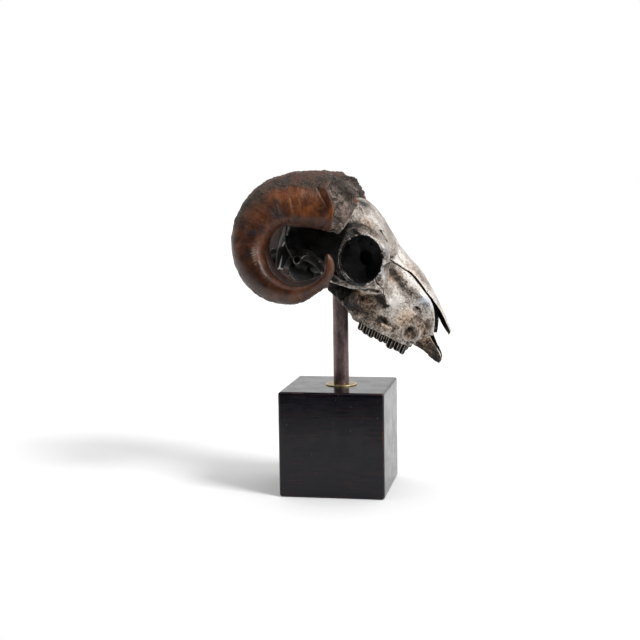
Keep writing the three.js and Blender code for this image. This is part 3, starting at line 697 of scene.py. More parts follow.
def bone_paint():
    p = Paint("silvered_bone")
    open_, edge, crack, glint, hole, calm, dark, warm, pale, blue = p.marks(
        "open edge crack glint hole calm dark warm pale blue")
    big, mid, fine = p.noise(32, 3, 0.6), p.noise(120, 5, 0.7, warp=0.6), p.noise(420, 6, 0.75, warp=0.4)
    lively = calm.span(0, 1, 1, 0.55)
    # Shut-in places and creases come out darker, painted shade with dark patina in the hollows; worn edges lighter.
    tone = (big.off(0.9) + 0.60 + mid.off(1.5) * lively + fine.off(1.75) * lively + edge.off(1.0) + open_.off(1.0)
            # The pale patches are painted highlights, upward faces get a little painted top light, and dark holds
            # painted shade too.
            + pale * 0.42 + calm * 0.06 + dark * -0.74 + warm * -0.12)
    wear = (edge + fine.off(0.3)).span(0.62, 0.76)
    tone = tone + wear * (dark * 0.16 + 0.14)
    color = p.ramp(tone, (0, 0.004, 0.0035, 0.003), (0.2, 0.014, 0.010, 0.008), (0.36, 0.055, 0.041, 0.032),
                   (0.50, 0.150, 0.120, 0.100), (0.64, 0.29, 0.245, 0.21), (0.80, 0.45, 0.405, 0.365),
                   (1, 0.66, 0.62, 0.58))
    color = p.mix((warm + mid.off(0.8)).span(0.1, 0.9), color, (1.15, 0.95, 0.76), "MULTIPLY")
    color = p.mix((blue + mid.off(0.6)).span(0.15, 0.9), color, (0.84, 0.94, 1.07), "MULTIPLY")
    speck = p.cells(520).span(0.24, 0.08) * mid.span(0.46, 0.6)
    color = p.mix(speck * 0.7, color, (0.02, 0.016, 0.013))
    # Worn edges lighter; in the darkened zones these light edges are also painted highlights on edges in the painted
    # shade.
    color = p.mix(wear * (dark * 0.5), color, (0.34, 0.31, 0.28))
    # Painted highlights along crests, edges and the orbit's rim.
    color = p.mix(glint.span(0.3, 0.85) * fine.span(0.36, 0.52, 0.35, 1.0), color, (0.62, 0.58, 0.54))
    color = p.mix(crack.span(0.35, 0.8), color, (0.004, 0.003, 0.003))
    # Painted black shade in the orbit, on the nose's inner walls and on the far jaw's inner face.
    color = p.mix((hole + p.noise(560, 2, 0.5).off(3.2)).span(0.42, 0.62), color, (0.003, 0.003, 0.0035))
    rough = p.sum("ADD", mid.span(0.3, 0.7, 0.34, 0.50), tone.span(0.5, 0.1, 0.0, 0.14), clamp=True)
    height = mid * 0.55 + (fine * 0.40 + p.noise(1300, 3, 0.7) * 0.13) + (speck + crack * 2.0) * -0.5
    return p.finish(color, rough, p.bump(height, 0.8, 0.0014), tone.span(0.2, 0.9, 0.10, 0.46), IOR=1.38)


def horn_paint():
    p = Paint("polished_horn")
    along, round_, side, band, amber, plum, shade, hair = p.marks("along round side band amber plum shade hair")
    lines = p.node("CombineXYZ", X=along * 0.9, Y=round_ * 2.2, Z=side * 2.2)
    rings = p.node("CombineXYZ", X=along * 0.16, Y=round_ * 1.3, Z=side * 1.3)
    streak = p.noise(1.0, 4, 0.62, vector=lines, warp=0.5)
    ring = p.noise(1.0, 3, 0.55, vector=rings, warp=0.9)
    big, mid, fine = p.noise(26, 3, 0.6), p.noise(105, 5, 0.66, warp=0.6), p.noise(520, 5, 0.72)
    tone = (streak.off(0.34) + ring.off(0.50)) + (big.off(0.8) + (mid.off(0.7) + 0.5))
    brown = p.ramp(tone, (0.15, 0.012, 0.005, 0.0035), (0.4, 0.042, 0.0135, 0.006), (0.6, 0.094, 0.030, 0.011),
                   (0.85, 0.170, 0.060, 0.023))
    gold = p.ramp(tone, (0.15, 0.046, 0.014, 0.006), (0.4, 0.126, 0.036, 0.009), (0.6, 0.210, 0.063, 0.015),
                  (0.85, 0.34, 0.122, 0.034))
    color = p.mix((amber + mid.off(0.7)).span(0.15, 0.95), brown, gold)
    violet = p.ramp(tone, (0.2, 0.006, 0.004, 0.005), (0.8, 0.050, 0.025, 0.022))
    color = p.mix((plum + mid.off(0.9)).span(0.2, 0.9), color, violet)
    crust = p.ramp(mid * 0.6 + fine * 0.4, (0.36, 0.006, 0.005, 0.004), (0.48, 0.039, 0.024, 0.015),
                   (0.60, 0.112, 0.073, 0.048), (0.72, 0.205, 0.145, 0.105))
    crust = p.mix((big + mid.off(0.6)).span(0.46, 0.62, 0.0, 0.75), crust, (0.085, 0.034, 0.019))
    rind = (band + big.off(0.7) + mid.off(1.6)).span(0.1, 0.95)
    color = p.mix(rind, color, crust)
    # Whitish scuffs and streaks, together with painted glints on the growth rings.
    scuff_glint_share = (hair + streak.off(1.5)).span(0.5, 0.95)
    color = p.mix(scuff_glint_share * 0.65, color, (0.38, 0.31, 0.26))
    color = p.mix((shade + mid.off(0.5)).span(0.2, 1.0), color, (0.016, 0.007, 0.005))
    rough = p.sum("ADD", mid.span(0.3, 0.7, 0.30, 0.45), rind * 0.25, clamp=True)
    normal = p.bump(streak * 0.35 + ring * 0.8, 0.5, 0.0013)
    normal = p.bump((mid * 0.6 + fine * 0.55) * (rind + 0.14), 0.9, 0.0018, normal)
    return p.finish(color, rough, normal, IOR=1.42, Coat_Weight=0.06, Coat_Roughness=0.2)


def collar_paint():
    p = Paint("horn_core")
    edge, dark, amber = p.marks("edge dark amber")
    big, mid, fine = p.noise(48, 4, 0.6, warp=0.5), p.noise(150, 5, 0.7, warp=0.6), p.noise(600, 5, 0.75)
    split = (p.cells(55, "DISTANCE_TO_EDGE") + mid.off(0.9)).span(0.08, -0.05)
    tone = (mid.off(1.1) + fine.off(0.9)) + (big.off(0.8) + 0.55)
    color = p.ramp(tone, (0.12, 0.010, 0.007, 0.006), (0.32, 0.048, 0.033, 0.026), (0.48, 0.138, 0.102, 0.083),
                   (0.66, 0.28, 0.22, 0.185), (0.92, 0.47, 0.40, 0.35))
    color = p.mix((big + mid.off(0.5)).span(0.54, 0.66, 0.0, 0.6), color, (0.135, 0.060, 0.032))
    color = p.mix((edge + fine.off(0.4)).span(0.55, 0.9) * 0.8, color, (0.52, 0.46, 0.40))
    color = p.mix(split * 0.6, color, (0.012, 0.009, 0.007))
    color = p.mix((dark + mid.off(1.6)).span(0.25, 0.95), color, (0.026, 0.015, 0.009))
    color = p.mix((amber + mid.off(0.6)).span(0.4, 0.9), color, (0.15, 0.048, 0.012))
    normal = p.bump(tone * 0.8 + split * -0.6, 0.9, 0.0022)
    return p.finish(color, mid.span(0.3, 0.7, 0.42, 0.66), normal, 0.08, IOR=1.45)


def tooth_paint():
    p = Paint("tooth_enamel")
    edge, rib = p.marks("edge rib")
    mid, fine = p.noise(240, 4, 0.65), p.noise(900, 4, 0.7)
    tone = (rib * 0.60 + 0.33) + (mid.off(0.9) + (fine.off(0.4) + edge.off(0.2)))
    color = p.ramp(tone, (0.40, 0.004, 0.003, 0.003), (0.54, 0.020, 0.014, 0.010), (0.64, 0.085, 0.065, 0.048),
                   (0.76, 0.38, 0.325, 0.255), (0.90, 0.62, 0.55, 0.46))
    return p.finish(color, fine.span(0.3, 0.7, 0.26, 0.44), p.bump(mid + fine * 0.5, 0.5, 0.0007), 0.2, IOR=1.42)


def wood_paint():
    p = Paint("ebonised_wood")
    edge, = p.marks("edge")
    grain = p.noise(6, 6, 0.65, vector=p.node("Mapping", Vector=p.place(), Scale=(5.0, 5.0, 90.0)), warp=0.6)
    mid, fine = p.noise(60, 4, 0.6), p.noise(700, 4, 0.7)
    color = p.ramp(grain, (0.35, 0.001, 0.001, 0.004), (0.52, 0.003, 0.003, 0.0065), (0.62, 0.012, 0.004, 0.004),
                   (0.8, 0.036, 0.009, 0.007))
    wear = (edge + mid.off(2.2)).span(0.72, 1.25)
    color = p.mix(wear * 0.7, color, (0.070, 0.020, 0.012))
    dust = (p.cells(95) + mid * 0.05).span(0.085, 0.045)
    color = p.mix(dust * 0.5, color, (0.25, 0.23, 0.22))
    rough = p.sum("ADD", mid.span(0.3, 0.7, 0.13, 0.24), wear * 0.15, clamp=True)
    return p.finish(color, rough, p.bump(grain * 0.6 + fine * 0.15, 0.12, 0.0006), IOR=1.36)


def rod_paint():
    p = Paint("patinated_rod")
    stretched = p.node("Mapping", Vector=p.place(), Scale=(1.0, 1.0, 0.35))
    big, mid = p.noise(70, 4, 0.6, vector=stretched), p.noise(260, 5, 0.65, vector=stretched)
    tone = big * 0.5 + mid * 0.5
    color = p.ramp(tone, (0.32, 0.060, 0.042, 0.040), (0.47, 0.172, 0.120, 0.116), (0.6, 0.275, 0.200, 0.192),
                   (0.75, 0.39, 0.30, 0.28))
    color = p.mix((p.cells(260) + mid * 0.2).span(0.30, 0.18) * 0.7, color, (0.035, 0.022, 0.020))
    normal = p.bump(mid + p.noise(1200, 4, 0.7) * 0.4, 0.35, 0.0006)
    return p.finish(color, mid.span(0.3, 0.7, 0.30, 0.50), normal, tone.span(0.3, 0.7, 0.70, 0.88), IOR=1.5)


def brass_paint():
    p = Paint("aged_brass")
    edge, = p.marks("edge")
    mid, fine = p.noise(240, 5, 0.65), p.noise(1500, 3, 0.7)
    color = p.ramp(mid, (0.33, 0.13, 0.085, 0.035), (0.52, 0.36, 0.25, 0.10), (0.7, 0.58, 0.44, 0.20))
    color = p.mix(edge.span(0.4, 0.9) * 0.6, color, (0.80, 0.66, 0.36))
    normal = p.bump(mid + fine * 0.5, 0.4, 0.0004)
    return p.finish(color, mid.span(0.3, 0.7, 0.22, 0.45), normal, 0.9, IOR=1.5)


def floor_paint():
    p = Paint("white_sweep")
    soft = p.noise(3.0, 3, 0.5)
    color = p.mix(soft * 0.04, (0.93, 0.93, 0.93), (0.88, 0.88, 0.88))
    return p.finish(color, soft.span(0.3, 0.7, 0.80, 0.86), Specular_IOR_Level=0.1)


# ---- Horns --------------------------------------------------------------------------------------

def course(rows, t):
    """A centripetal curve through rows, read at shares t of their count."""
    ends = np.concatenate([[2 * rows[0] - rows[1]], rows, [2 * rows[-1] - rows[-2]]])
    place = np.clip(np.asarray(t, float), 0, 1) * (len(rows) - 1)
    i = np.minimum(place.astype(int), len(rows) - 2)
    w = (place - i)[:, None]
    p0, p1, p2, p3 = (ends[i + o] for o in range(4))
    gap = lambda a, b: np.maximum(((a - b) ** 2).sum(1, keepdims=True) ** 0.25, 1e-4)
    d0, d1, d2 = gap(p0, p1), gap(p1, p2), gap(p2, p3)
    a = ((p1 - p0) / d0 - (p2 - p0) / (d0 + d1) + (p2 - p1) / d1) * d1
    b = ((p2 - p1) / d1 - (p3 - p1) / (d1 + d2) + (p3 - p2) / d2) * d1
    return p1 + a * w + (3 * (p2 - p1) - 2 * a - b) * w ** 2 + (2 * (p1 - p2) + a + b) * w ** 3


def eased(rows, reach):
    """Rows averaged with their neighbours; the ends stay where they are."""
    span = np.arange(-3 * reach, 3 * reach + 1)
    weight = np.exp(-0.5 * (span / reach) ** 2)
    ends = np.concatenate([2 * rows[:1] - rows[3 * reach:0:-1], rows, 2 * rows[-1:] - rows[-2:-3 * reach - 2:-1]])
    return np.stack([np.convolve(column, weight / weight.sum(), "valid") for column in ends.T], 1)


HORN_T = np.linspace(0, 1, 1101)
HORN_PATH, HORN_WIDE = (eased(course(HORN_COURSE[:, c], HORN_T), HORN_EASE) for c in ([0, 2, 1], [3, 4]))
HORN_LONG = np.concatenate([[0], np.cumsum(np.linalg.norm(np.diff(HORN_PATH, axis=0), axis=1))])

HORN_CORNER = table(0, 0, 0.36, 0, 0.5, 6, 0.62, 9.5, 0.8, 8, 0.9, 3, 1, 0)


def horn_rings(t, angles, side):
    """Rings of points round the horn, at a share of its course for each point, and how far along they lie."""
    t = np.broadcast_to(t, np.broadcast(t, angles).shape)
    read = lambda rows: np.stack([np.interp(t, HORN_T, column) for column in rows.T], -1)
    middle, wide = read(HORN_PATH), read(HORN_WIDE)
    heading = read(np.gradient(HORN_PATH, axis=0))
    heading /= np.linalg.norm(heading, axis=-1, keepdims=True)
    lateral = np.array([0, 1.0, 0]) - heading * heading[..., 1:2]
    lateral /= np.linalg.norm(lateral, axis=-1, keepdims=True)
    inward = -np.cross(lateral, heading)
    square = lambda v: np.sign(v) * np.abs(v) ** 0.88
    c, s = -np.cos(angles), np.sin(angles)
    across = wide[..., 1] * (1 + 0.14 * c) * square(s)
    into = wide[..., 0] * square(c) + HORN_SKEW * across
    # the inner corner next to the skull is fuller, so that the coil narrows to that side
    full = HORN_CORNER(t) * np.maximum(c, 0) ** 0.8 * np.maximum(-s, 0) ** 0.8 * 1.7
    into = into + full
    rings = middle + inward * into[..., None] + lateral * across[..., None]
    rings[..., 1] *= side
    return rings, np.interp(t, HORN_T, HORN_LONG)


def grid_faces(rows, columns, wrap=False):
    """Faces over a grid of points, listed row by row. wrap joins the last column to the first."""
    i, j = np.meshgrid(np.arange(rows - 1) * columns, np.arange(columns - (not wrap)), indexing="ij")
    k = (j + 1) % columns
    return np.stack([i + j, i + columns + j, i + columns + k, i + k], -1).reshape(-1, 4)


def soft_spots(t, angle, spots):
    """The strongest of soft oval patches, given as place along, angle round, their reach, and strength."""
    best = np.zeros(np.broadcast(t, angle).shape)
    for place, turn, long, wide, strength in spots:
        gap = np.abs((angle - math.radians(turn) + math.pi) % (2 * math.pi) - math.pi) / math.radians(wide)
        best = np.maximum(best, strength * np.exp(-((t - place) / long) ** 2 - gap ** 2))
    return best


# Patches on the horn: share of its course, angle from the outside of the coil round the free side, their reach
# and strength.
HORN_LOOKS = dict(
    amber=[(0.32, 68, 0.055, 24, 1.0), (0.27, 104, 0.05, 16, 1.0), (0.43, 74, 0.035, 34, 0.4),
           (0.24, 80, 0.04, 18, 0.8), (0.17, 82, 0.022, 30, 1.3), (0.27, 95, 0.05, 14, 0.7),
           (0.50, 60, 0.05, 24, 0.4), (0.72, 60, 0.10, 40, 0.35), (0.205, 20, 0.012, 16, 0.8),
           (0.32, -68, 0.08, 30, 0.8), (0.45, -70, 0.06, 30, 0.6)],
    plum=[(0.375, 104, 0.028, 22, 1.0), (0.49, 97, 0.018, 16, 1.0), (0.56, 93, 0.022, 16, 0.9),
          (0.358, 82, 0.01, 9, 0.8), (0.46, 110, 0.04, 16, 0.6), (0.62, 80, 0.03, 30, 0.5), (0.52, 80, 0.05, 16, 0.5),
          (0.40, -95, 0.05, 30, 0.8), (0.55, -90, 0.04, 30, 0.8)],
    shade=[(0.30, 180, 0.2, 34, 0.85), (0.62, -165, 0.25, 50, 0.95), (0.82, -170, 0.14, 60, 0.95),
           (0.995, 110, 0.03, 60, 0.8), (0.44, 45, 0.06, 30, 0.45), (0.38, 108, 0.05, 14, 0.5)],
    # Whitish scuffs and painted glints.
    hair=[(0.565, 110, 0.07, 15, 0.75), (0.235, 70, 0.018, 12, 0.55), (0.28, 72, 0.04, 10, 0.5),
          (0.50, 27, 0.07, 7, 0.7), (0.62, 27, 0.08, 7, 0.6), (0.992, 150, 0.014, 50, 1.0)])
lip_at = table(-180, 0.15, -140, 0.17, -90, 0.19, -40, 0.2, 0, 0.205, 20, 0.205, 40, 0.211, 53, 0.215, 65, 0.2,
               77, 0.182, 86, 0.168, 100, 0.150, 112, 0.138, 130, 0.128, 155, 0.132, 180, 0.15)
band_reach = table(0.13, 0.60, 0.37, 0.57, 0.405, 0.68, 0.44, 0.90, 0.6, 0.94, 0.85, 0.96, 1, 1.2)


def tube(rings):
    """A tube's points, its faces wound to look away from its middle, and the way out at each point."""
    points, middle = rings.reshape(-1, 3), np.repeat(rings.mean(1), rings.shape[1], 0)
    faces = grid_faces(*rings.shape[:2], True)
    out = normals_of(points, faces)
    return (points, faces[:, ::-1], -out) if (out * (points - middle)).sum() < 0 else (points, faces, out)


def closed_ends(points, faces, columns):
    """Triangles of a tube and of a fan over each end, with the two fans' middle points added."""
    count = len(points)
    ring = np.arange(columns)
    after = (ring + 1) % columns
    start = np.stack([ring, after, np.full(columns, count)], 1)
    finish = np.stack([after, ring, np.full(columns, columns + 1)], 1) + count - columns
    if faces[0, 0]:
        start, finish = start[:, [1, 0, 2]], finish[:, [1, 0, 2]]
    points = np.concatenate([points, *(end.mean(0, keepdims=True) for end in (points[:columns], points[-columns:]))])
    return points, np.concatenate([faces[:, [0, 1, 2]], faces[:, [0, 2, 3]], start, finish])


def show_tube(title, node, side, points, faces, columns, material, marks, ends=None):
    """Shows a tube with its ends closed. A mark at an end's middle is given, or the mean of the mark round it."""
    marks = {k: np.append(v, ends or [v[:columns].mean(), v[-columns:].mean()]) for k, v in marks.items()}
    points, faces = closed_ends(points, faces, columns)
    name = "left" if side > 0 else "right"
    show(f"{title}_{name}", points, faces, material, [f"{node}_{name}"], marks)


def horn_grid(side, rows, columns, ends, ease=1.0):
    """Rings round a horn. ends gives the first and last place along it at each angle from the lip's place there."""
    angles = np.linspace(-math.pi, math.pi, columns, endpoint=False)
    lip = lip_at(np.degrees(angles))
    start, end = ends(angles, lip)
    t = start + (end - start) * np.linspace(0, 1, rows)[:, None] ** ease
    rings, along = horn_rings(t, angles[None, :], side)
    return np.tile(angles, rows), lip, t, rings, along


def build_horn(side, material):
    rows, columns = ((600, 220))
    turn, lip, t, rings, along = horn_grid(side, rows, columns, lambda angles, lip: (lip, 1), ease=1.08)
    from_lip = (along - along[:1]).ravel()
    # the tip is blunt, and the last part a little stouter than the course
    tip = smooth(0, 8.0, along[-1:] - along)
    middle = rings.mean(1, keepdims=True)
    rings = middle + (rings - middle) * ((0.45 + 0.55 * np.sqrt(tip)) * (1 + 0.35 * smooth(0.86, 0.97, t)))[..., None]
    points, faces, out = tube(rings)
    t, along, cosine, sine = t.ravel(), along.ravel(), np.cos(turn), np.sin(turn)
    local = points + [0, 40 * side, 0]
    band = smooth(-0.16, 0.14, cosine - band_reach(t) + 0.22 * fbm(local, 15, 3, 2.0))
    fade = smooth(0.0, 0.25, np.interp(t, HORN_T, HORN_WIDE[:, 0]) / 31)
    wave = 0.5 * np.sin(along / 5.4 + 1.6 * noise(local, 42, 4.0))
    wave += 0.3 * np.sin(along / 2.3 + 2.2 * noise(local, 30, 9.0))
    push = 0.26 * wave * fade + 0.9 * noise(local, 34, 1.0) * fade + 0.07 * fbm(local, 2.5, 2, 3.0)
    push += band * (1.1 * fbm(local, 7, 3, 5.0) + 0.6 * fbm(local, 2.2, 2, 8.0) + 0.10)
    # the sheath's edge: a swollen lip, then a groove
    push += LIP * np.exp(-(from_lip / 7.5) ** 2) * (1 + 0.35 * noise(local, 8, 11.0)) * (
        0.35 + 0.65 * smooth(0, 2.2, from_lip))
    waver, come_and_go = 2.5 * noise(local, 18, 6.0), smooth(-0.5, 0.5, noise(local, 15, 3.0))
    push -= 0.45 * np.exp(-((from_lip - 9 - waver) / 2.4) ** 2) * come_and_go
    marks = dict(along=along, round=cosine, side=sine, band=band,
                 **{name: soft_spots(t, turn, spots) for name, spots in HORN_LOOKS.items()})
    marks["hair"] = np.maximum(marks["hair"], 0.5 * np.exp(-(from_lip / 1.3) ** 2))
    groove = np.exp(-((from_lip - 8.5 - waver) / 1.6) ** 2)
    marks["shade"] = np.maximum(marks["shade"], 0.7 * groove * (1 - band) * come_and_go)
    show_tube("horn_sheath", "horn", side, points + out * push[:, None], faces, columns, material, marks)


def build_collar(side, material):
    rows, columns = ((110, 260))

    def ends(angles, lip):
        ring = np.stack([4 * np.cos(angles), 4 * np.sin(angles), 0 * angles], 1)
        return COLLAR_START - 0.004 + 0.004 * noise(ring, 1.3), lip + 0.02

    turn, lip, t, rings, along = horn_grid(side, rows, columns, ends)
    points, faces, out = tube(rings)
    local = points + [0, 40 * side, 0]
    under = smooth(-0.004, 0.008, (t - lip).ravel())
    edge_gap = (along - along[:1]).ravel()
    rim = np.exp(-(edge_gap / 1.7) ** 2)
    crown = smooth(0.45, 0.95, np.cos(turn))
    calm = 1 - 0.6 * np.exp(-(edge_gap / 6) ** 2) * (1 - crown)
    push = calm * ((2.0 + 1.8 * crown) * fbm(local, 11, 3, 1.0) + (1.0 + 1.0 * crown) * fbm(local, 3.6, 3, 4.0))
    groove = np.exp(-((edge_gap - 4.5) / 2.0) ** 2)
    push += 1.3 * rim * (0.6 + 0.8 * noise(local, 7, 2.0)) - 0.8 * groove - 2.6 * under
    chip = smooth(0.72, 0.90, np.cos(turn)) * smooth(13, 6, edge_gap) * smooth(0.35, 0.1, np.abs(turn - 0.12))
    # Dark on the crown, and painted shade where the collar runs under the sheath's lip.
    marks = dict(edge=0.35 + 0.6 * rim + 0.25 * fbm(local, 4, 3, 7.0), dark=np.maximum(0.8 * crown, 0.85 * under),
                 amber=chip)
    points = points + out * push[:, None]
    show_tube("horn_core", "horn_collar", side, points, faces, columns, material, marks, [0.3, 0.3])


# ---- Marks on the bone --------------------------------------------------------------------------

# Soft patches in the skull's frame on both sides: centre, reach, strength.
BONE_LOOKS = dict(
    dark=[(74, 52, 82, 14, 12, 13, 1.0), (72, 57, 62, 7, 10, 24, 1.0), (80, 58, 44, 7, 9, 9, 0.7),
          (219, 6, 38, 6, 12, 5, 0.7), (216, 11, 10, 15, 10, 10, 0.35), (112, 42, 14, 24, 18, 13, 0.5),
          (86, 55, 90, 9, 9, 6, 0.55), (78, 58, 33, 8, 8, 6, 0.6), (98, 61, 35.5, 20, 9, 4.4, 1.0),
          (114, 58, 41, 8, 7, 4, 0.7), (62, 24, 111, 8, 11, 7, 1.15), (115, 50, 80, 7, 8, 14, 0.6),
          (88, 40, 97, 8, 9, 6, 0.3), (88, 15, 8, 20, 12, 18, 1.1), (106, 24, 8, 9, 13, 8, 0.9),
          (106, 44, 21, 18, 16, 8, 0.65), (150, 34, 13.2, 7, 5, 4.2, 0.95), (174, 20, 18, 8, 3, 6, 0.9),
          (181, 23, 17, 3.4, 4, 4.5, 0.8), (192, 20, 4, 9, 7, 3.5, 0.4), (210, 15, 2, 12, 6, 2.0, 0.5),
          (177, 22, 42, 5, 3, 3, 0.55), (132, 33, -3, 14, 6, 4, 0.6), (118, 46, 78, 6, 8, 10, 0.45),
          (130, 34, 69, 5, 7, 4.6, 0.5), (136, 31.5, 65.5, 6, 7, 4.6, 0.6), (142, 29, 61, 6, 7, 4.2, 0.5),
          (194, 19, 24, 11, 8, 12, 0.15), (148, 27, 57, 5, 6, 4, 0.5), (160, 24, 55, 14, 6, 3, 0.35),
          (98, 34, 94, 9, 6, 4, 0.35), (140, 30, 50, 4, 6, 6, 0.35), (184, 19, 46, 7, 5, 7, 0.3),
          (180, 22.5, 35, 8, 5, 7, 0.4), (196, 18, 30, 6, 6, 10, 0.3)],
    warm=[(116, 40, 20, 24, 16, 16, 1.2), (40, 33, 41, 10, 9, 7, 1.4), (150, 32, 10, 26, 12, 10, 0.6),
          (138, 32, 63, 9, 10, 8, 0.9), (168, 26, 26, 18, 10, 14, 0.8), (84, 44, 98, 10, 10, 10, 0.6),
          (184, 23, 13, 7, 6, 8, 0.8), (196, 12, 52, 14, 8, 8, 0.5), (190, 20, 26, 15, 8, 13, 0.6),
          (150, 14, 76, 22, 12, 8, 0.4)],
    # Painted highlights on bulges, ridges and the forehead.
    pale=[(153, 32, 41, 8, 9, 7, 1.4), (40, 33, 41, 9, 9, 6, 1.5), (40, 32, 54, 16, 12, 12, 0.75),
          (120, 44, 29, 15, 9, 6, 0.6), (100, 18, 106, 14, 10, 6, 0.25), (143, 36, 50, 7, 7, 8, 0.8),
          (150, 33, 39, 9, 8, 10, 1.6), (82, 51, 91, 6, 6, 5, 0.5), (68, 36, 101.5, 7, 8, 5.5, 1.7),
          (178, 17, 57, 14, 6, 5, 0.5), (162, 28, 28, 20, 10, 17, 0.95), (92, 26, 104, 16, 16, 8, 0.3),
          (150, 20, 66, 12, 6, 5, 0.5), (188, 22, 22, 6, 6, 5, 0.5)],
    blue=[(62, 26, 109, 7, 9, 7, 1.0), (98, 60, 37, 16, 9, 5, 0.9), (116, 47, 84, 8, 8, 10, 0.8),
          (124, 46, 62, 6, 8, 14, 0.8), (180, 19, 54, 14, 6, 8, 0.9), (185, 22, 4, 12, 8, 5, 0.6)])

# Lines across the bone with half their width: dark cracks on the right side, then painted highlights along crests and
# edges on both.
CRACKS = [
    ([(124.2, -31.8, 76.2), (134.3, -22.8, 74.3), (143.9, -18.6, 73.5), (152, -17.5, 71.5), (158, -16, 69.5),
      (171.3, -16.2, 64.4), (185.5, -14, 58)], 0.4),
    ([(161.3, -23.3, 54.2), (163, -24, 51), (165.2, -24.6, 47.6)], 0.5),
    ([(151.7, -33.6, 12.1), (158.7, -31.0, 9.8), (162.1, -30.0, 9.5), (168, -28, 12)], 0.5)]
GLINTS = [
    ([(9.8, 29.5, 28.3), (9, 33, 35), (9, 36.5, 41), (3.5, 27, 55), (2.5, 12, 62.5), (2.5, 0, 65.5)], 1.8),
    ([(2, 0, 65), (20, 0, 86), (34, 0, 100)], 1.3),
    ([(18.6, 34, 5.1), (28, 28, 6), (34, 30, 2.5), (42, 31, 1.5), (50, 29, 5), (56, 24, 8)], 1.0),
    ([(15, 34, 18.7), (18.6, 34, 5.1), (14, 26, -2)], 0.8), ([(1.9, 19, 2.1), (6, 18, -3), (11.4, 15.8, -4.6)], 1.2),
    ([(29, 40, 24.6), (36.3, 41.5, 26), (39.5, 45, 33.6), (48.2, 50, 36.4), (58.8, 55.4, 37.8)], 0.8),
    ([(80.8, 60, 25.4), (92, 62.4, 27), (104.3, 61.7, 31), (114.6, 58.3, 35.8), (122.5, 54, 41.3),
      (129.4, 49.9, 43.2), (136.1, 45.6, 41.8), (140.4, 42.7, 38.6), (143, 40.8, 35)], 0.7),
    ([(124.2, 31.8, 77.2), (134.3, 22.9, 75.8), (143.9, 18.7, 74.8)], 0.7),
    ([(150, 19.6, 70), (158, 18, 67.4), (171.3, 18, 62.2), (184, 16.4, 56.8)], 0.5),
    ([(92, 61, 25), (98, 58, 20), (105.7, 52, 16), (113, 44, 11)], 0.5),
    ([(187.3, 17.4, 56.8), (197.5, 18, 45.8), (203.2, 18.2, 30.1), (203.6, 18.2, 22.7)], 0.9),
    ([(191, 20.8, 14.8), (189, 21.4, 21), (184, 22.6, 23.4), (179, 24, 21), (177, 24.6, 14.8), (179, 24.5, 8.6),
      (184, 23, 6.2), (189, 21.5, 8.6), (191, 20.8, 14.8)], 0.6),
    ([(126, 34.5, -3.2), (132.5, 33.4, -3.9), (144, 31, -3.4), (152.4, 29.8, -3.2), (167.1, 26.2, -3),
      (178.6, 24, -1)], 0.6),
    ([(203, 19, 23), (213.4, 12.6, 15.6), (218.5, 9.6, 12.2), (225.4, 7, 7)], 0.7),
    ([(189, 21.5, 3.2), (196.8, 20, 3.8), (207.6, 16.6, 1.8), (220, 10.6, -0.4), (227, 7.6, -1)], 0.6)]


def folded(points):
    """Points with those of the right side mirrored to the left."""
    return np.stack([points[:, 0], np.abs(points[:, 1]), points[:, 2]], 1)


def patches(points, looks):
    """The strongest of some soft patches, each a centre, a reach and a strength, on both sides."""
    best, points = np.zeros(len(points)), folded(points)
    for *row, strength in looks:
        near = (((points - row[:3]) / row[3:]) ** 2).sum(1)
        best = np.maximum(best, strength * np.exp(-near))
    return best


# Around the orbit, by direction in degrees: how dark the bone beyond the thin rim is, and how far that goes.
SURROUND = table(-180, 1.0, -148, 0.95, -111, 0.62, -90, 0.5, -68, 0.42, -58, 0.3, -30, 0.2, 0, 0.15, 40, 0.3,
                 70, 0.5, 100, 0.8, 130, 1.0, 180, 1.0)
SURROUND_END = table(-180, 1.9, -148, 1.74, -130, 1.46, -111, 1.25, -90, 1.22, -68, 1.26, -58, 1.36, -30, 1.25,
                     0, 1.25, 70, 1.4, 100, 1.6, 130, 1.8, 180, 1.9)


def hollow_marks(points, out):
    """Painted shade inside the nose and deep in the orbit, painted shade within the orbit's edge and on its inward
    wall, the dark bone around it and a painted highlight along its edge.
    """
    x, side, z = points[:, 0], np.abs(points[:, 1]), points[:, 2]
    a, b = orbit_frame(x, z)
    reach = np.sqrt(a * a + b * b)
    rim = 60 - 5 * (a + 1) - 3.5 * b
    turn = np.degrees(np.arctan2(b, a))
    ragged = smooth(-50, -20, turn) * smooth(170, 120, turn)
    away = np.stack([x - ORBIT["x"], z - ORBIT["z"]], 1)
    inward = -(out[:, [0, 2]] * away).sum(1) / np.maximum(np.hypot(*away.T), 1)
    wall = smooth(0.08, 0.35, inward) * smooth(1.18, 1.11, reach)
    # A painted highlight along the rim where it catches the light, and on the teeth of its ragged upper edge.
    lit = smooth(130, 145, turn) + smooth(-25, -45, turn)
    line = lit * smooth(0.99, 1.03, reach) * smooth(1.105, 1.07, reach) * (1 - wall) * smooth(30, 38, side)
    comb = np.clip(2.2 * noise(np.stack([turn / 2.6, 0 * turn, 0 * turn], 1), 1.0, 3.0) + 0.35, 0, 1) * ragged
    # Painted shade within the orbit's ragged edge and on its inward wall.
    hole = np.maximum(smooth(1.01 + 0.15 * comb, 0.965 + 0.12 * comb, reach), wall) * smooth(10, 16, side)
    line = np.maximum(line, 0.8 * (ragged - comb) * smooth(0.97, 1.02, reach) * smooth(1.13, 1.06, reach))
    # Painted shade deep in the orbit and inside the nose.
    orbit = smooth(rim - 2, rim - 4, side) * smooth(1.12, 1.05, reach) * smooth(10, 16, side)
    end = SURROUND_END(turn)
    around = SURROUND(turn) * smooth(1.07, 1.11, reach) * smooth(end + 0.05, end - 0.05, reach) * smooth(30, 38, side)
    nose = smooth(0.9, -0.6, side - face_y[0](x) + 2.6) * smooth(-1.5, -3.5, z - roof_z(x) + nasal_drop(x))
    return np.maximum(orbit, nose * smooth(128, 134, x) * smooth(206, 202, x)), hole, around, line


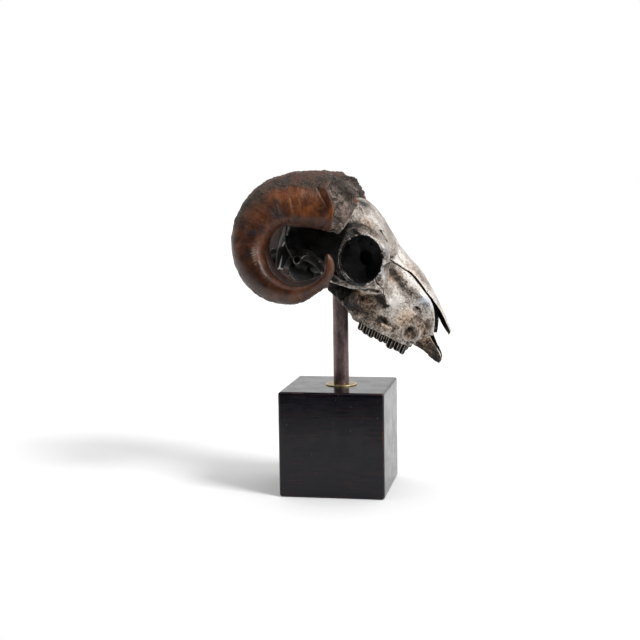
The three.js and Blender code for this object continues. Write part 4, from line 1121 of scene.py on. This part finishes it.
def line_mark(points, lines, spread):
    """Close to any of some lines, which waver a little."""
    best = np.zeros(len(points))
    for stations, wide in lines:
        path = spline(stations, 5 * len(stations))
        near = np.flatnonzero(((points > path.min(0) - 4) & (points < path.max(0) + 4)).all(1))
        here = points[near]
        here = here + np.stack([noise(here, 5, 1.0), noise(here, 5, 3.0), noise(here, 5, 5.0)], 1) * 0.9 * spread
        gap = np.full(len(near), 1e9)
        for p, q in zip(path, path[1:]):
            run = q - p
            t = np.clip((here - p) @ run / max(run @ run, 1e-9), 0, 1)
            gap = np.minimum(gap, ((here - p - t[:, None] * run) ** 2).sum(1))
        best[near] = np.maximum(best[near], smooth(wide + 0.55, wide * 0.4, np.sqrt(gap)))
    return best


def bone_marks(points, out, wide_air, fine_air, low, step, thin=1.0):
    """How shut in each vertex is and how it stands out, both also giving painted shade, its patches of colour, and
    the painted shade and painted highlights of its hollows and crests.
    """
    shut, crisp = (read_field(air, low, step, points) for air in (wide_air, fine_air))
    marks = {name: patches(points, looks) for name, looks in BONE_LOOKS.items()}
    x, y, z = points.T
    snout = smooth(-2, 2, x - 188 - 0.72 * z + 2 * noise(points, 9, 4.0)) * smooth(34, 24, z)
    # Downward-facing surfaces of the face: painted shade.
    under = smooth(0.0, -0.5, out[:, 2]) * smooth(120, 150, x) * smooth(22, 30, z)
    # The back of the skull inside the horn's coil: painted shade.
    back = smooth(76, 62, x) * smooth(90, 78, z)
    deep, hole, around, line = hollow_marks(points, out)
    # Deep hollows between braincase and cheek: painted shade.
    far_in = smooth(48, 42, np.abs(y)) * smooth(102, 94, x) * smooth(22, 30, z) * smooth(90, 84, z)
    # Walls of the nose that face the midline: painted shade.
    inner = smooth(-0.25, -0.6, out[:, 1] * np.sign(y)) * smooth(150, 165, x)
    # Inner faces of the left jaw's front, seen through the nose: painted shade.
    far_front = smooth(2, 5, y) * smooth(190, 197, x) * smooth(15, 22, z) * smooth(0.6, 0.2, out[:, 1])
    far_front = far_front * smooth(62, 57, z)
    # The dark mark gathers the dark patches, the darker snout, and the painted shade above.
    marks["dark"] = np.maximum.reduce([marks["dark"], 1.3 * deep, 0.5 * snout, under, 1.15 * back, around,
                                       1.2 * inner, 1.3 * far_in, far_front])
    marks["warm"] = np.maximum(marks["warm"], 0.9 * snout)
    # The hole mark is painted black shade; glint holds painted highlights.
    return dict(marks, hole=np.maximum.reduce([hole, inner, far_front]), crack=line_mark(points, CRACKS, 1.0),
                glint=np.maximum(line_mark(folded(points), GLINTS, 0.5), line), edge=1 - crisp,
                # open darkens shut-in places, painted shade with patina; calm makes upward faces less mottled and a
                # little lighter, painted top light.
                calm=smooth(0.15, 0.6, out[:, 2]) * smooth(50, 90, x), open=0.5 + thin * (0.5 - shut))


def show_bone(name, d, low, step, nodes, material, air, rough=1.0, more=None):
    points, faces = skin(d, low, step)
    out = normals_of(points, faces)
    lumps = 0.30 * noise(points, 11, 1.0) + 0.22 * fbm(points, 4.2, 3, 2.0) + 0.10 * noise(points, 1.7, 3.0)
    torn = patches(points, [(92, 16, 8, 20, 12, 14, 1.0), (112, 28, 0, 9, 10, 7, 0.8)])
    lumps = lumps + torn * (1.1 * fbm(points, 5, 3, 6.0) + 0.5 * noise(points, 2.2, 8.0))
    marks = bone_marks(points, out, *air)
    if more:
        marks.update(more(points))
    points = points + out * (rough * lumps - 0.5 * marks["crack"])[:, None]
    show(name, set_in_place(points), faces, material, nodes, marks)


def one_side(bone, half, side, room=3):
    """Half a field on its own side of the skull, with room toward the midline, and its low corner."""
    field = np.pad(half, [(0, 0), (room, 0), (0, 0)], constant_values=3.0)
    if side < 0:
        return field[:, ::-1], np.array([bone.low[0], -bone.axes[1][-1], bone.low[2]])
    return field, bone.low - [0, room * bone.step, 0]


def bone_around(field, low, step, coarse=6, fine=1.2):
    """How much bone lies around each place, coarse and fine, and the grid it is read from."""
    occupied = np.clip(0.5 - field / (2 * step), 0, 1)
    return (*(blurred(occupied, max(1, int(round(reach / step)))) for reach in (coarse, fine)), low, step)


def lengthened(jaw, x, z):
    """The left jaw, whose front edge reaches a little further than the right one's."""
    ahead = 1.8 / STEP * smooth(178, 198, x) * smooth(14, 28, z) + np.zeros(jaw.shape[1])[:, None]
    place = np.maximum(np.arange(jaw.shape[0])[:, None, None] - ahead, 0)
    first = place.astype(int)
    share = place - first
    after = np.minimum(first + 1, jaw.shape[0] - 1)
    return np.take_along_axis(jaw, first, 0) * (1 - share) + np.take_along_axis(jaw, after, 0) * share


# The sutures round the cheekbone and behind the upper jaw, as outlines in x and z.
CHEEK_OUTLINE = [[58, 46], [86, 60], [112, 60], [122, 51], [134, 46], [140, 36], [130, 30], [112, 20], [58, 14]]
SNOUT_OUTLINE = [[141, 150], [260, 150], [260, -60], [91, -60], [96, 8], [104, 24], [118, 46], [122, 68], [130, 78],
                 [141, 88]]


def build_bones(material, tooth_material):
    skull, front, plate = build_skull(), build_premaxilla(), Bone()
    plate.add(stack(110, 150, brow_plate_section, 44, 66, 96), 0.3)
    x, y, z = (axis.reshape(shape) for axis, shape in zip(skull.axes, ((-1, 1, 1), (1, -1, 1), (1, 1, -1))))
    flat_x, flat_z = x[:, 0], z[0]
    warp = 1.6 * fbm(np.stack(np.broadcast_arrays(flat_x, np.float32(0), flat_z), -1), 7, 2, 3.0)
    cheek, snout = ((outline_distance(flat_x, flat_z, o) + warp)[:, None] for o in (CHEEK_OUTLINE, SNOUT_OUTLINE))
    cheek = np.maximum(cheek, 41 - y)
    front_edge = np.interp(z, *SNOUT_JOINT) - x
    whole = np.maximum(skull.d, np.clip(x - 115, -9, 0.9) - plate.d)
    rest = np.maximum(whole, SUTURE - cheek)
    cranium = np.minimum(np.maximum(rest, SUTURE - snout), plate.d)
    cheek = np.maximum(whole, cheek + SUTURE)
    jaw = np.maximum(np.maximum(rest, snout + SUTURE), SUTURE - front_edge)
    around = bone_around(*whole_field(skull), STEP)
    show_bone("cranium_bone", *whole_field(skull, cranium), STEP, ["cranium"], material, around)
    for side, name in ((-1, "right"), (1, "left")):
        own_jaw = np.maximum(jaw if side < 0 else lengthened(jaw, x, z), SUTURE - y)
        for node, half in (("cheekbone", cheek), ("upper_jaw", own_jaw)):
            show_bone(f"{node}_bone_{name}", *one_side(skull, half, side), STEP, [f"{node}_{name}"], material, around)
        for bone, node in ((front, "premaxilla"), (build_nasal(side), "nasal_bone")):
            half = np.maximum(bone.d, SUTURE - bone.axes[1][None, :, None])
            if bone is front:
                edge = np.interp(bone.axes[2], *SNOUT_JOINT)
                half = np.maximum(half, edge + SUTURE - bone.axes[0][:, None, None])
            field, low = one_side(bone, half, side)
            show_bone(f"{node}_bone_{name}".replace("bone_bone", "bone"), field, low, bone.step, [f"{node}_{name}"],
                      material, (*bone_around(field, low, bone.step), 0.25), rough=0.9)
    teeth, ribs = build_teeth()
    for side, name in ((-1, "right"), (1, "left")):
        field, low = one_side(teeth, teeth.d, side, room=0)
        show_bone(f"cheek_teeth_{name}", field, low, teeth.step, [f"upper_jaw_{name}"], tooth_material,
                  bone_around(field, low, teeth.step, 3, 0.8), rough=0.25,
                  more=lambda points: dict(rib=rib_mark(points, ribs)))


# ---- The stand ----------------------------------------------------------------------------------

def build_block(material):
    """A cube with softened, slightly worn edges, its faces gently uneven."""
    half, core = BLOCK / 2, BLOCK / 2 - BLOCK_EDGE
    bend = 1 - np.tan(np.linspace(0, math.pi / 4, 9)) * BLOCK_EDGE / half
    flat = np.linspace(-1, 1, 72) * core / half
    line = np.unique(np.round(np.concatenate([-bend, flat, bend]), 9))
    count = len(line)
    u, v = np.meshgrid(line, line, indexing="ij")
    flat = np.stack([u.ravel(), v.ravel(), np.ones(u.size)], 1)
    sides = [(axis, sign) for axis in range(3) for sign in (-1, 1)]
    cube = half * np.concatenate([np.roll(flat * [1, 1, sign], axis + 1, 1) for axis, sign in sides])
    faces = [grid_faces(count, count)[:, ::sign] + i * count * count for i, (axis, sign) in enumerate(sides)]
    inner = np.clip(cube, -core, core)
    outward = cube - inner
    reach = np.linalg.norm(outward, axis=1, keepdims=True)
    shaped = np.where(reach > 1e-6, inner + outward / np.maximum(reach, 1e-6) * BLOCK_EDGE, cube)
    wear = np.exp(-np.sort(half - np.abs(cube), axis=1)[:, 1] / 3.0)
    lumps = 0.10 * noise(shaped, 38, 2.0) - 0.25 * wear * (0.5 + 0.5 * noise(shaped, 9, 6.0))
    shaped = shaped + shaped / np.linalg.norm(shaped, axis=1, keepdims=True) * lumps[:, None]
    shaped[:, 2] = np.maximum(shaped[:, 2] + half, 0)
    show("ebonised_block", shaped, np.concatenate(faces), material, ["stand_block"], dict(edge=wear))


def lathe(profile, around):
    """A surface turned round the rod's middle, from distances and heights."""
    profile = np.array(profile, float)
    angles = np.linspace(0, 2 * math.pi, around, endpoint=False)
    away = profile[:, None, 0]
    rings = np.stack([ROD_X + away * np.cos(angles), away * np.sin(angles), np.repeat(profile[:, 1:], around, 1)], -1)
    return rings.reshape(-1, 3), grid_faces(len(profile), around, True)[:, ::-1]


def build_rod(material):
    heights = np.linspace(BLOCK + 0.05, ROD_TOP, 150)
    profile = [[0.01, heights[0]], *([ROD_RADIUS, h] for h in heights), [0.01, heights[-1]]]
    points, faces = lathe(profile, 112)
    away = (points - [ROD_X, 0, 0]) * [1, 1, 0]
    reach = np.linalg.norm(away, axis=1, keepdims=True)
    lumps = (0.10 * noise(points, 14, 1.0) + 0.05 * noise(points, 4, 2.0))[:, None]
    points = points + away / np.maximum(reach, 1e-6) * (reach > 1) * lumps
    show("steel_rod", points, faces, material, ["stand_rod"], sharp=50)


def build_washer(material):
    """A flat ring with a worn edge. Its section gives distance from the rod's middle, height and wear."""
    inside, outside, top = ROD_RADIUS + 0.3, WASHER_RADIUS, BLOCK + WASHER_THICK
    profile = [(inside, BLOCK, 0), (outside - 0.2, BLOCK, 0.4), (outside, BLOCK + 0.3, 0.8), (outside, top - 0.6, 1),
               (outside - 0.35, top - 0.15, 1), (outside - 1, top, 0.8), (outside - 4, top + 0.02, 0.1),
               (inside + 1.3, top, 0.4), (inside + 0.6, top - 0.1, 0.9), (inside, top - 0.5, 0.6), (inside, BLOCK, 0)]
    around = 180
    points, faces = lathe([row[:2] for row in profile], around)
    edge = np.repeat([row[2] for row in profile], around)
    show("brass_washer", points, faces, material, ["stand_washer"], dict(edge=edge), sharp=60)


# ---- Floor, light and camera --------------------------------------------------------------------

BRIGHT_SIDE = (0.356, 0.814, 0.458)  # where the room is brightest
# Each sun's name, strength, spread in degrees and where it stands.
SUNS = (("key", 2.5, 20, (0.72, -0.35, 0.60)), ("fill", 0.45, 70, (-0.45, -0.25, 0.85)))
CAMERA_AT = (0.24789, -1.43511, 0.36331)
CAMERA_TURN = (10.635, 6.586, -0.815)  # degrees to the left, down and rolled
CAMERA_LENS = 71.65


def build_floor(material):
    x, y = np.meshgrid(np.linspace(-6, 6, 40), np.linspace(-0.52, 14, 30))
    points = np.stack([x.ravel(), y.ravel(), np.zeros(x.size)], 1)
    floor = new_piece("white_sweep", points, grid_faces(30, 40)[:, [0, 3, 2, 1]], material)


def build_light():
    """A soft key from the right, a dim room before the object, and white wherever the camera looks."""
    scene = bpy.context.scene
    scene.world = bpy.data.worlds.new("studio")
    p = Paint(scene.world)
    facing = p.node("VectorMath", out="Value", setup=dict(operation="DOT_PRODUCT"),
                    _0=p.node("TexCoord", out="Generated"), _1=BRIGHT_SIDE)
    strength = p.sum("MAXIMUM", facing.span(-0.35, 0.6, 0.05, 1.0), p.node("LightPath", out="Is Camera Ray"))
    p.output("World", p.node("Background", Color=(1, 1, 1), Strength=strength))
    for name, energy, spread, toward in SUNS:
        sun = bpy.data.lights.new(name, "SUN")
        sun.energy, sun.angle = energy, math.radians(spread)
        lamp = bpy.data.objects.new(name, sun)
        lamp.rotation_euler = Vector(toward).to_track_quat("Z", "Y").to_euler()
        lamp.location = 2 * Vector(toward)
        scene.collection.objects.link(lamp)
    scene.view_settings.view_transform = "Standard"
    scene.view_settings.exposure = 0.0


def build_camera():
    turn, down, roll = (math.radians(a) for a in CAMERA_TURN)
    camera = bpy.data.objects.new("camera", bpy.data.cameras.new("camera"))
    camera.data.lens, camera.data.sensor_width = CAMERA_LENS, 36.0
    camera.data.clip_end = 20
    camera.matrix_world = (Matrix.Translation(CAMERA_AT) @ Matrix.Rotation(turn, 4, "Z")
                           @ Matrix.Rotation(math.pi / 2 - down, 4, "X") @ Matrix.Rotation(roll, 4, "Z"))
    bpy.context.scene.collection.objects.link(camera)
    bpy.context.scene.camera = camera


bone_material, horn_material, core_material = bone_paint(), horn_paint(), collar_paint()
build_bones(bone_material, tooth_paint())
for hand in (-1, 1):
    build_horn(hand, horn_material)
    build_collar(hand, core_material)
build_block(wood_paint())
build_rod(rod_paint())
build_washer(brass_paint())
build_floor(floor_paint())
build_light()
build_camera()
